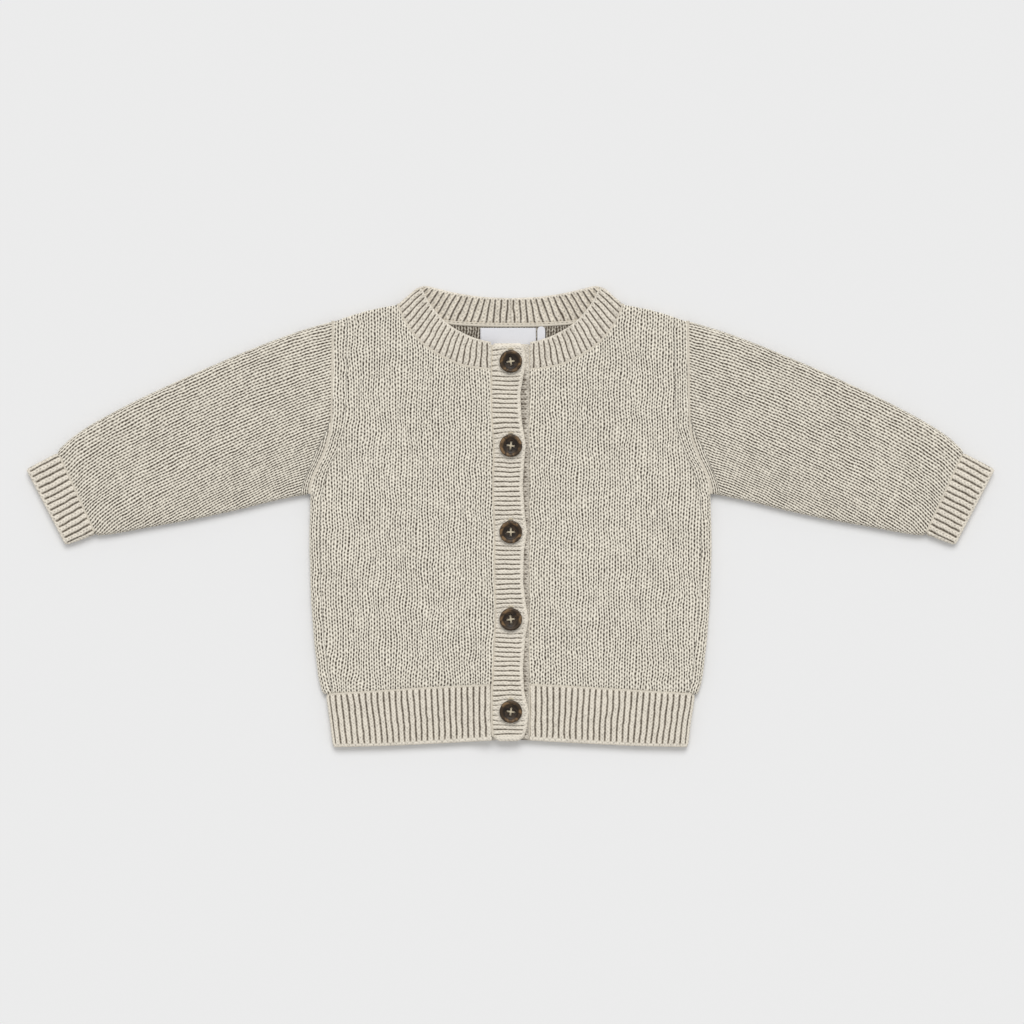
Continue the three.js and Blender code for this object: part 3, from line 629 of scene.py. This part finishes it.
def arcLine(rows):
    dense = grid(600)
    own = grid(len(rows))
    x = np.interp(dense, own, [row["across"] for row in rows])
    y = np.interp(dense, own, [row["along"] for row in rows])
    kernel = np.ones(61) / 61
    def eased(values):
        before, after = 2 * values[0] - values[30:0:-1], 2 * values[-1] - values[-2:-32:-1]
        padded = np.concatenate([before, values, after])
        return np.convolve(padded, kernel, mode="valid")
    x, y = eased(x), eased(y)
    length = np.concatenate([[0], np.cumsum(np.hypot(np.diff(x), np.diff(y)))])
    share = length / length[-1]
    return lambda s: (np.interp(s, share, x), np.interp(s, share, y))

upperLine = arcLine(sleeveUpperEdge)
lowerLine = arcLine(sleeveLowerEdge)

def armholeLine(w):
    y = lerp(0.0144, 0.1286, w)
    return readTable(sideEdge, "along", "across", y) + 0.00035, y

def mixPoint(a, b, t):
    return lerp(a[0], b[0], t), lerp(a[1], b[1], t)

def sleevePlace(s, w):
    cuffSeam = mixPoint(lowerLine(1.0), upperLine(1.0), w)
    between = mixPoint(lowerLine(s), upperLine(s), w)
    ends = mixPoint(armholeLine(w), cuffSeam, s)
    corners = mixPoint(mixPoint(armholeLine(0 * w), armholeLine(0 * w + 1), w), cuffSeam, s)
    return between[0] + ends[0] - corners[0], between[1] + ends[1] - corners[1]

def cuffPlace(s, w):
    lower, upper = lowerLine(1.0), upperLine(1.0)
    dx, dy = upper[0] - lower[0], upper[1] - lower[1]
    width = math.hypot(dx, dy)
    outward = (dy / width * 0.0003, -dx / width * 0.0003)
    inset = 0.0009 / width
    share = lerp(inset, 1 - inset, w)
    start = (lower[0] + outward[0] + dx * share, lower[1] + outward[1] + dy * share)
    end = (lerp(cuffEnd["lowerAcross"], cuffEnd["upperAcross"], w),
           lerp(cuffEnd["lowerAlong"], cuffEnd["upperAlong"], w))
    return mixPoint(start, end, s)

# A flattened tube. The ring starts on top at the upper edge, crosses to the lower edge, rolls under
# and comes back; s is the share of the length.
def makeTube(name, place, size, look, side, step=4):
    topCount, foldCount, underCount = size["topColumns"], 8, size["underColumns"]
    rowCount = int(round(size["courses"] * look["along"] / step)) * step + 1
    s = grid(rowCount)[:, None]
    length = size["length"]
    lowerPoint, upperPoint = place(s, 0 * s), place(s, 0 * s + 1)
    width = np.hypot(upperPoint[0] - lowerPoint[0], upperPoint[1] - lowerPoint[1])
    flatWidth = width - 2 * foldRadius
    arc = foldRadius * math.pi
    fromUpper = np.linspace(0, 1, topCount, endpoint=False)[None, :]
    # lines keep the wales' own spacing from the upper edge, and crowd only near the lower edge
    own = fromUpper * size["widest"]
    crowd = size["crowd"]
    startOfCrowd = flatWidth - crowd
    tailShare = (own - startOfCrowd) / np.maximum(size["widest"] - startOfCrowd, 1e-6)
    topDistance = np.where(own < startOfCrowd, own, startOfCrowd + crowd * np.clip(tailShare, 0, 1))
    underDistance = np.linspace(0, 1, underCount, endpoint=False)[None, :] * flatWidth
    foldAngle = np.linspace(0, np.pi, foldCount, endpoint=False)[None, :]
    one = np.ones((rowCount, 1))
    # around: top from the upper edge to the lower, lower fold, underside back, upper fold
    reach = np.concatenate([foldRadius + topDistance, one * (0 * foldAngle) + width - foldRadius,
                            width - foldRadius - underDistance, one * (0 * foldAngle) + foldRadius], axis=1)
    angle = np.concatenate([0 * topDistance + np.pi / 2, np.pi / 2 - foldAngle * one,
                            0 * underDistance - np.pi / 2, -np.pi / 2 - foldAngle * one], axis=1)
    outwardSign = np.concatenate([0 * topDistance, 0 * foldAngle * one + 1, 0 * underDistance,
                                  0 * foldAngle * one - 1], axis=1)
    # stitches are counted from the upper edge both ways, so they meet under the lower edge
    surface = np.concatenate([topDistance, flatWidth + foldAngle * foldRadius * one,
                              underDistance - flatWidth - arc, foldAngle * foldRadius * one - arc], axis=1)
    wale = surface / size["wale"]
    course = s * length / size["course"] * np.ones(surface.shape)
    x0, y0 = place(s * np.ones(surface.shape), 1 - reach / width)
    wale = wale + look["wander"] * slowWaves(x0, y0, 1.3)
    course = course + 0.6 * slowWaves(y0, x0, 0.9)
    if not look["rib"]:
        # two columns follow the lower half of the armhole
        fromArmhole = s * length + 0 * surface
        taper = smooth(reach / width, 0.50, 0.78)
        beside = fromArmhole < 1.9 * size["wale"] * taper
        wale = np.where(beside, fromArmhole / size["wale"] + 0.5, wale)
        course = np.where(beside, surface / size["course"], course)
    wale, course = loosened(wale, course, side * x0, y0, look["loose"])
    fromEnd = (1 - s) * length * np.ones(surface.shape)
    groove = smooth(fromEnd, 0.0012, 0.0026) if look["rib"] else np.ones(surface.shape)
    if look["rib"]:
        depth = (1 - ribRelief(wale, course, groove)) * reliefDepth["rib"]
    else:
        depth = (1 - plainRelief(wale, course)) * reliefDepth["plain"]
    depth = depth + 0.0007 * (1 - smooth(np.minimum(s, 1 - s) * length, 0, 0.002))
    def build(d):
        radius = foldRadius - d
        across = reach + np.abs(np.cos(angle)) * radius * outwardSign
        x, y = place(s * np.ones(surface.shape), 1 - across / width)
        lift = (creases(side * x, y) + 0.0003 * slowWaves(side * x, y)) * np.maximum(np.sin(angle), 0)
        lift = lift * smooth(np.minimum(s, 1 - s) * length, 0.0, 0.012) if look["swell"] else 0
        return np.stack([side * x, y, foldRadius + radius * np.sin(angle) + lift], axis=-1)
    outer = build(depth)
    inner = build(np.full(surface.shape, cloth["thickness"]))[::step, ::step]
    return shellPiece(name, outer, inner, np.stack([wale, course], axis=-1), groove, look["material"], step,
                      isTube=True, flip=side < 0)

sleeveSize = {"topColumns": 232, "underColumns": 48, "courses": 72, "length": 0.187, "widest": 0.1125,
              "crowd": 0.010, "wale": gauge["sleeveWale"], "course": gauge["sleeveCourse"]}
cuffSize = {"topColumns": 112, "underColumns": 80, "courses": 9, "length": 0.0236, "widest": 0.0560,
            "crowd": 0.004, "wale": gauge["cuffRib"], "course": gauge["ribCourse"]}
for sideName, side in (("right", -1), ("left", 1)):
    sleeve = makeTube("sleeve_piece_" + sideName, sleevePlace, sleeveSize, sleeveLook, side)
    clothPiece(sleeve, "sleeve_" + sideName)
    cuff = makeTube("cuff_piece_" + sideName, cuffPlace, cuffSize, dict(ribLook, along=4), side)
    clothPiece(cuff, "cuff_" + sideName)
print("sleeves and cuffs knitted")

# the neckband

def bandCurve(rows, prefix):
    return arcLine([dict(across=row[prefix + "Across"], along=row[prefix + "Along"]) for row in rows])

# Half of the strip, from the front band over the shoulder to the middle of the back: travel is the way
# along it and v runs from the seam to the free edge.
def neckbandHalf(face, side, count, acrossCount):
    front = {"seam": bandCurve(frontBandRows, "seam"), "free": bandCurve(frontBandRows, "free")}
    backward = {"seam": bandCurve(backBandRows, "seam"), "free": bandCurve(backBandRows, "free")}
    frontLength, backLength = 0.083, 0.069
    arc = foldRadius * math.pi
    total = frontLength - foldRadius + arc + backLength - foldRadius
    travel = np.linspace(0, total, count)[:, None]
    v = grid(acrossCount)[None, :]
    flatFront = frontLength - foldRadius
    angle = np.pi / 2 - np.clip((travel - flatFront) / foldRadius, 0, np.pi)
    wale = (travel - total) / gauge["neckRib"] + 0.5 + 0 * v
    course = v * 7 + 0 * travel
    groove = smooth(1 - v, 0.03, 0.10) * np.ones(wale.shape)
    swell = 0.35 * slowWaves(wale * 0.004, course * 0.002, 1.2)
    wale = wale + 0.3 * swell + 0.12 * loose(travel + 0.01 * v + side, 0.02 * v + 0 * travel, 0.006)
    relief = ribRelief(wale, course, groove)
    if face == "inner":
        relief = ribRelief(wale + 0.5, course, groove)
    depth = (1 - relief) * reliefDepth["rib"] * 0.9
    edgeDrop = 0.0009 * (smooth(0.05 - v, 0, 0.05) + smooth(v - 0.94, 0, 0.06))
    depth = depth + edgeDrop
    radius = foldRadius - depth if face == "outer" else cloth["stack"] / 2 - cloth["thickness"] + depth
    distanceFront = np.where(travel < flatFront, frontLength - travel, foldRadius - radius * np.cos(angle))
    distanceBack = np.where(travel > flatFront + arc, travel - flatFront - arc + foldRadius,
                            foldRadius - radius * np.cos(angle))
    isFront = angle > 0
    def edge(which):
        fx, fy = front[which](np.clip(distanceFront / frontLength, 0, 1))
        bx, by = backward[which](np.clip(distanceBack / backLength, 0, 1))
        return np.where(isFront, fx, bx), np.where(isFront, fy, by)
    seam, free = edge("seam"), edge("free")
    inset = lerp(0.02, 0.045, np.exp(-((travel - flatFront - arc / 2) / 0.006) ** 2))
    corner = 0.14 * np.exp(-((travel - flatFront - arc / 2) / 0.0042) ** 2)
    share = lerp(inset, 1.0 - corner, v)
    x, y = mixPoint(seam, free, share)
    z = foldRadius + radius * np.sin(angle)
    if side < 0:
        z = z + bandLift(-x) * (angle > 0)
    return np.stack([side * x, y, z], axis=-1), wale, course, groove

def makeNeckband():
    count, acrossCount, step = 289, 29, 1
    faces = {}
    for face in ("outer", "inner"):
        right, wale, course, groove = neckbandHalf(face, -1, count, acrossCount)
        left = neckbandHalf(face, 1, count, acrossCount)[0]
        faces[face] = np.concatenate([right, left[::-1][1:]], axis=0)
    waleAll = np.concatenate([wale, -wale[::-1][1:]], axis=0)
    courseAll = np.concatenate([course, course[::-1][1:]], axis=0)
    grooveAll = np.concatenate([groove, groove[::-1][1:]], axis=0)
    # painted shade: the band is darkened a little all over and its inner face a little more
    return shellPiece("neck_rib", faces["outer"], faces["inner"], np.stack([waleAll, courseAll], axis=-1),
                      grooveAll, ribKnit, step, flip=True, shade=np.full(waleAll.shape, 0.06), innerShade=0.08)

neckRib = makeNeckband()
clothPiece(neckRib, "neckband")
print("neckband knitted")

# the two bands of the opening

bandLook = {"rows": 641, "columns": 33, "selvedge": 0.0021, "buttonPush": 0.0011, "pushReach": 0.0095}
buttonCentres = [(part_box("button_%d" % k)[0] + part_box("button_%d" % k)[1]) / 2 for k in range(1, 6)]

def makeButtonholeBand():
    low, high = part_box("buttonhole_band")
    rows, columns, step = bandLook["rows"], bandLook["columns"], 4
    along = np.linspace(low.y, high.y, rows)[:, None]
    share = grid(columns)[None, :]
    left = readTable(buttonholeBandRows, "along", "left", along, 0.001)
    right = readTable(buttonholeBandRows, "along", "right", along, 0.001)
    x = lerp(left, right, share)
    y = along + 0 * x
    push = 0
    dent = 0
    for centre in buttonCentres:
        dy = y - centre.y
        dx = x - centre.x
        near = np.exp(-(dy / bandLook["pushReach"]) ** 2)
        push = push + bandLook["buttonPush"] * np.sin(np.clip(dy / 0.009, -np.pi, np.pi)) * near \
            * np.exp(-(dx / 0.010) ** 2) * 1.6
        dent = dent + 0.0007 * np.exp(-((dx / 0.0085) ** 2 + (dy / 0.0085) ** 2))
    slant = 0.0011 * slowWaves(0.3 * x, y, 1.7) + 0.05 * x * slowWaves(0 * x, y, 1.2)
    wale = (y - push + slant) / gauge["bandRib"]
    course = (x - left) / gauge["ribCourse"]
    wale, course = loosened(wale, course, x, y, 0.5)
    fromRight = right - x
    fromLeft = x - left
    fromEnds = np.minimum(along - low.y, high.y - along)
    groove = smooth(fromRight, bandLook["selvedge"] - 0.0006, bandLook["selvedge"] + 0.0006) \
        * smooth(fromLeft, 0.0002, 0.0010) * smooth(fromEnds, 0.0025, 0.0045)
    for centre in buttonCentres:
        distance = np.hypot(x - centre.x, (y - centre.y) * 1.05)
        groove = groove * (1 - 0.8 * np.exp(-(distance / 0.0108) ** 6))
    relief = ribRelief(wale, course, groove)
    roundRight = 0.0016 * (1 - smooth(fromRight, 0, 0.0022)) ** 1.5
    roundLeft = 0.0011 * (1 - smooth(fromLeft, 0, 0.0016)) ** 1.5
    roundEnds = 0.0012 * (1 - smooth(fromEnds, 0, 0.002)) ** 1.5
    depth = (1 - relief) * 0.0010 + dent + np.maximum(np.maximum(roundRight, roundLeft), roundEnds)
    depth = np.minimum(depth, 0.0022)
    outer = np.stack([x, y, high.z - depth], axis=-1)
    inner = np.stack([x, y, low.z + 0 * x], axis=-1)[::step, ::step]
    lighter = np.full(wale.shape, -0.04)
    return shellPiece("buttonhole_rib", outer, inner, np.stack([wale, course], axis=-1), groove, ribKnit,
                      step, shade=lighter)

def makeButtonBand():
    low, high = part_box("button_band")
    rows, columns, step = 401, 17, 4
    along = np.linspace(low.y, high.y, rows)[:, None]
    x = np.linspace(low.x, high.x, columns)[None, :] + 0 * along
    y = along + 0 * x
    wale, course = y / gauge["bandRib"], (x - low.x) / gauge["ribCourse"]
    besideNeck = smooth(y, 0.094, 0.098)
    groove = smooth(high.x - x, 0.0008, 0.0018) * lerp(0.5, 0.0, besideNeck)
    depth = (1 - ribRelief(wale, course, groove)) * 0.0009
    outer = np.stack([x, y, high.z - depth], axis=-1)
    inner = np.stack([x, y, low.z + 0 * x], axis=-1)[::step, ::step]
    # painted shade: the under band is darker, most where it lies under the top band and less beside the
    # neckband; speckle varies it
    speckle = 0.16 * loose(x * 3, y, 0.0021)
    shade = lerp(0.34 + 0.22 * smooth(x, high.x, high.x - 0.006) + speckle, 0.16, besideNeck)
    return shellPiece("button_rib", outer, inner, np.stack([wale, course], axis=-1), groove, ribKnit, step,
                      shade=shade)

buttonRib = makeButtonBand()
clothPiece(buttonRib, "button_band")
buttonholeRib = makeButtonholeBand()
clothPiece(buttonholeRib, "buttonhole_band")
print("front bands knitted")

# the buttons and their thread

buttonLook = {"segments": 72, "holeRadius": 0.00082, "holeSpacing": 0.0034,
              "dark": srgb(33, 25, 18), "brown": srgb(126, 100, 70), "thread": srgb(222, 212, 190),
              "threadShade": srgb(180, 165, 135)}
buttonProfile = [
    dict(radius=0.0, height=0.0), dict(radius=0.0060, height=0.0), dict(radius=0.0070, height=0.0003),
    dict(radius=0.00742, height=0.0009), dict(radius=0.0075, height=0.0015),
    dict(radius=0.00738, height=0.0021), dict(radius=0.0071, height=0.0025),
    dict(radius=0.0067, height=0.00275), dict(radius=0.0062, height=0.0028),
    dict(radius=0.0057, height=0.0026), dict(radius=0.0052, height=0.00225),
    dict(radius=0.0046, height=0.0019), dict(radius=0.0040, height=0.00175),
    dict(radius=0.0, height=0.0017)]

def hornMaterial():
    material, n, shader = newMaterial("hornButton", {"Specular IOR Level": 0.28})
    place = n.add("ShaderNodeTexCoord").outputs["Object"]
    cloud = n.noise(place, 170, Detail=5, Distortion=1.6)
    split = n.add("ShaderNodeSeparateXYZ")
    n.link(place, split.inputs[0])
    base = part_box("button_1")[0].z
    rim = n.ease(split.outputs["Z"], base + 0.0019, base + 0.0026)
    mottle = n.ease(cloud, 0.40, 0.62)
    onRim = n.calc("multiply", rim, n.calc("multiply_add", mottle, 0.85, 0.14))
    share = n.calc("maximum", onRim, n.calc("multiply", mottle, 0.16))
    n.link(n.mix(share, buttonLook["dark"], buttonLook["brown"]), shader.inputs["Base Color"])
    scratch = n.noise(place, 1500)
    n.link(n.calc("multiply_add", scratch, 0.25, 0.28), shader.inputs["Roughness"])
    n.link(n.bump(scratch, 0.00005), shader.inputs["Normal"])
    return material

def threadMaterial():
    material, n, shader = newMaterial("creamThread", {"Roughness": 0.8})
    ply = n.noise(n.add("ShaderNodeTexCoord").outputs["Object"], 3000)
    n.link(n.mix(ply, buttonLook["thread"], buttonLook["threadShade"]), shader.inputs["Base Color"])
    n.link(n.bump(ply, 0.0001), shader.inputs["Normal"])
    return material

def plainMesh(name, points, faces, material):
    mesh = bpy.data.meshes.new(name)
    mesh.from_pydata([tuple(p) for p in points], [], faces)
    mesh.polygons.foreach_set("use_smooth", np.ones(len(mesh.polygons), dtype=bool))
    mesh.materials.append(material)
    piece = bpy.data.objects.new(name, mesh)
    bpy.context.collection.objects.link(piece)
    return piece

def latheMesh(name, profile, segments, material):
    points, faces = [], []
    rings = []
    for row in profile:
        if row["radius"] == 0:
            rings.append([len(points)])
            points.append((0, 0, row["height"]))
        else:
            rings.append([len(points) + k for k in range(segments)])
            for k in range(segments):
                turn = 2 * math.pi * k / segments
                points.append((row["radius"] * math.cos(turn), row["radius"] * math.sin(turn), row["height"]))
    for lower, upper in zip(rings, rings[1:]):
        for k in range(segments):
            a, b = lower[k % len(lower)], lower[(k + 1) % len(lower)]
            c, d = upper[(k + 1) % len(upper)], upper[k % len(upper)]
            faces.append([p for i, p in enumerate([a, b, c, d]) if p not in [a, b, c, d][:i]])
    return plainMesh(name, points, faces, material)

def tubeMesh(name, path, radius, material, sides=8):
    points, faces = [], []
    radius = np.broadcast_to(radius, len(path))
    path = [np.array(p, dtype=float) for p in path]
    for i, p in enumerate(path):
        ahead = path[min(i + 1, len(path) - 1)] - path[max(i - 1, 0)]
        ahead = ahead / np.linalg.norm(ahead)
        across = np.cross(ahead, [0, 0, 1.0])
        if np.linalg.norm(across) < 1e-3:
            across = np.array([1.0, 0, 0])
        across = across / np.linalg.norm(across)
        up = np.cross(across, ahead)
        for k in range(sides):
            turn = 2 * math.pi * k / sides
            points.append(p + radius[i] * (math.cos(turn) * across + math.sin(turn) * up))
    for i in range(len(path) - 1):
        for k in range(sides):
            a, b = i * sides + k, i * sides + (k + 1) % sides
            faces.append([a, b, b + sides, a + sides])
    faces.append(list(range(sides))[::-1])
    last = (len(path) - 1) * sides
    faces.append([last + k for k in range(sides)])
    return plainMesh(name, points, faces, material)

def bored(piece, cutters):
    for cutter in cutters:
        hole = piece.modifiers.new("threadHole", "BOOLEAN")
        hole.operation = "DIFFERENCE"
        hole.object = cutter
        hole.solver = "EXACT"
    graph = bpy.context.evaluated_depsgraph_get()
    mesh = bpy.data.meshes.new_from_object(piece.evaluated_get(graph))
    piece.modifiers.clear()
    piece.data = mesh
    for cutter in cutters:
        bpy.data.objects.remove(cutter)
    return piece

def joined(name, pieces):
    points, faces = [], []
    for piece in pieces:
        start = len(points)
        points += [tuple(vertex.co) for vertex in piece.data.vertices]
        faces += [[start + k for k in polygon.vertices] for polygon in piece.data.polygons]
    material = pieces[0].data.materials[0]
    for piece in pieces:
        bpy.data.objects.remove(piece)
    return plainMesh(name, points, faces, material)

horn = hornMaterial()
thread = threadMaterial()

# the linked seams: a cord of small loops lies in each seam

def seamCord(name, x, y, z, look):
    own, share = grid(len(x)), grid(look["count"])
    x, y, z = [np.interp(share, own, values) for values in (x, y, z)]
    length = np.concatenate([[0], np.cumsum(np.hypot(np.diff(x), np.diff(y)))])
    loop = np.abs(np.sin(np.pi * length / look["pitch"]))
    radius = look["radius"] * (0.78 + 0.22 * loop)
    placed(tubeMesh(name, np.stack([x, y, z], axis=1), radius, seamYarn))

def makeSeams():
    look = {"radius": 0.0010, "pitch": 0.0026, "count": 220}
    ridge = {"radius": 0.00115, "pitch": 0.0028, "count": 220}
    bandCord = {"radius": 0.00095, "pitch": 0.0027, "count": 240}
    chain = {"radius": 0.0010, "pitch": 0.0030, "count": 360}
    t = grid(200)
    topLevel = cloth["stack"] - 0.0015
    neckX, neckY = bandCurve(frontBandRows, "seam")(t)
    holeX, holeY = armholeLine(t)
    cuffX, cuffY = mixPoint(lowerLine(1.0), upperLine(1.0), lerp(0.05, 0.95, t))
    hemX = np.linspace(0.0135, 0.1195, 200)
    hemY = readTable(ribSeam, "across", "along", hemX * 1.03) - 0.0002
    for sideName, side in (("right", -1), ("left", 1)):
        def lifted(x):
            return topLevel + (bandLift(-x) if side < 0 else 0 * x)
        seamCord("neck_seam_" + sideName, side * neckX, neckY, lifted(neckX), look)
        seamCord("armhole_seam_" + sideName, side * holeX, holeY, lifted(holeX) + 0.00045, ridge)
        seamCord("cuff_seam_" + sideName, side * cuffX, cuffY, lifted(cuffX), look)
        seamCord("hem_seam_" + sideName, side * hemX, hemY, lifted(hemX), look)
    bandY = np.linspace(-0.1455, 0.1125, 200)
    leftX = readTable(buttonholeBandRows, "along", "left", bandY, 0.001) - 0.0004
    seamCord("buttonhole_band_seam", leftX, bandY, 0 * bandY + topLevel + cloth["lapRise"] - 0.0001, bandCord)
    seamCord("button_band_seam", 0 * bandY + 0.01245, bandY, 0 * bandY + topLevel - 0.0001, bandCord)
    backX, backY = bandCurve(backBandRows, "seam")(lerp(0.12, 1.0, t))
    chainX = np.concatenate([-backX, backX[::-1][1:]])
    chainY = np.concatenate([backY, backY[::-1][1:]]) - 0.0012
    seamCord("back_neck_chain", chainX, chainY, 0 * chainX + 0.0027, chain)
    seamCord("back_neck_seam", chainX, chainY + 0.0012, 0 * chainX + 0.0017, chain)
    print("seams linked")

def holeCutter(across, along):
    rows = [dict(radius=0, height=-0.002), dict(radius=buttonLook["holeRadius"], height=-0.002),
            dict(radius=buttonLook["holeRadius"], height=0.006), dict(radius=0, height=0.006)]
    cutter = latheMesh("cutter", rows, 20, horn)
    cutter.data.transform(Matrix.Translation((across, along, 0)))
    return cutter

# thread crosses between the four holes in two pairs of strands, and dips into each hole at its ends
def threadStrands(half):
    strands = []
    for sx, sy in ((1, 1), (1, -1)):
        for offset in (-0.0002, 0.0002):
            path = []
            for t in np.linspace(-1.12, 1.12, 13):
                sag = 0.0015 if abs(t) > 1.0 else 0.0022 + 0.0007 * (1 - t * t)
                path.append((half * t * sx + offset * sy, half * t * sy - offset * sx, sag))
            taper = 0.00030 * (1 - 0.45 * np.abs(np.linspace(-1, 1, 13)))
            strands.append(tubeMesh("strand", path, taper, thread))
    return strands

def makeButtons():
    half = buttonLook["holeSpacing"] / 2
    for k in range(1, 6):
        low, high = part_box("button_%d" % k)
        button = latheMesh("horn_button_%d" % k, buttonProfile, buttonLook["segments"], horn)
        bored(button, [holeCutter(sx * half, sy * half) for sx in (-1, 1) for sy in (-1, 1)])
        turn = Matrix.Rotation(math.pi / 4 + 0.16 * math.sin(2.1 * k), 4, "Z")
        centre = (low + high) / 2
        move = Matrix.Translation((centre.x, centre.y, low.z))
        button.data.transform(move @ turn)
        placed(button, "button_%d" % k)
        stitchThread = joined("button_thread_%d" % k, threadStrands(half))
        stitchThread.data.transform(move @ turn)
        placed(stitchThread)
        barPath = [(0.0016 * math.cos(a), 0.0077 + 0.0009 * math.sin(a), 0.0001 + 0.0003 * math.sin(a))
                   for a in np.linspace(0.2, math.pi - 0.2, 9)]
        bar = tubeMesh("buttonhole_end_%d" % k, barPath, 0.00045, thread)
        bar.data.transform(move)
        placed(bar)
    print("buttons sewn on")

makeSeams()
makeButtons()

# the bare white label and tab

tapeLook = {"warp": 900, "weft": 1100, "low": srgb(226, 226, 230), "high": srgb(238, 238, 240)}

def tapeMaterial():
    material, n, shader = newMaterial("whiteTape", {"Roughness": 0.6, "Sheen Weight": 0.2})
    place = n.add("ShaderNodeTexCoord").outputs["Object"]
    def thread(direction, scale):
        wave = n.add("ShaderNodeTexWave", bands_direction=direction)
        wave.inputs["Scale"].default_value = scale
        n.link(place, wave.inputs["Vector"])
        return wave.outputs["Fac"]
    height = n.calc("multiply", thread("X", tapeLook["warp"]), thread("Y", tapeLook["weft"]))
    n.link(n.mix(height, tapeLook["low"], tapeLook["high"]), shader.inputs["Base Color"])
    n.link(n.bump(height, 0.00006), shader.inputs["Normal"])
    return material

whiteTape = tapeMaterial()

def makeTape(name, node, roundTop, columns=29, rows=21):
    low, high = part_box(node)
    x, y = np.meshgrid(np.linspace(low.x, high.x, columns), np.linspace(low.y, high.y, rows))
    if roundTop:
        middle, radius = (low.x + high.x) / 2, (high.x - low.x) / 2
        capRoom = np.sqrt(np.maximum(1 - (np.abs(x - middle) / radius) ** 2, 0))
        y = lerp(low.y, high.y - radius + radius * capRoom, (y - low.y) / (high.y - low.y))
    wave = 0.00012 * np.sin(x * 260 + 1) + 0.0001 * np.sin(y * 330)
    outer = np.stack([x, y, high.z + wave], axis=-1)
    inner = np.stack([x, y, low.z + wave], axis=-1)
    stitch = np.stack([x, y], axis=-1)
    piece = shellPiece(name, outer, inner, stitch, np.zeros(x.shape), whiteTape, 1)
    return placed(piece, node)

labelTape = makeTape("label_tape", "neck_label", False)
makeTape("size_tape", "size_tab", True)
print("label and tab laid in")

# the floor and the light

floorLook = {"size": 6.0, "colour": srgb(237, 237, 237), "under": 0.0002}
lightLook = {"sky": 0.60, "sun": 1.50, "sunSize": 34, "tilt": 36, "turn": -4}

def makeFloor():
    half = floorLook["size"] / 2
    z = -floorLook["under"]
    material = newMaterial("paleFloor", {"Base Color": floorLook["colour"], "Roughness": 1.0,
                                         "Specular IOR Level": 0.0})[0]
    floor = plainMesh("floor", [(-half, -half, z), (half, -half, z), (half, half, z), (-half, half, z)],
                      [[0, 1, 2, 3]], material)

def makeLight():
    world = bpy.data.worlds.new("studio")
    bpy.context.scene.world = world
    world.use_nodes = True
    world.node_tree.nodes["Background"].inputs["Color"].default_value = (1, 1, 1, 1)
    world.node_tree.nodes["Background"].inputs["Strength"].default_value = lightLook["sky"]
    lamp = bpy.data.lights.new("softLamp", "SUN")
    lamp.energy = lightLook["sun"]
    lamp.angle = math.radians(lightLook["sunSize"])
    sun = bpy.data.objects.new("softLamp", lamp)
    bpy.context.collection.objects.link(sun)
    sun.rotation_euler = (math.radians(-lightLook["tilt"]), 0, math.radians(lightLook["turn"]))

makeFloor()
makeLight()
bpy.context.scene.view_settings.view_transform = "Standard"
print("floor and light set")
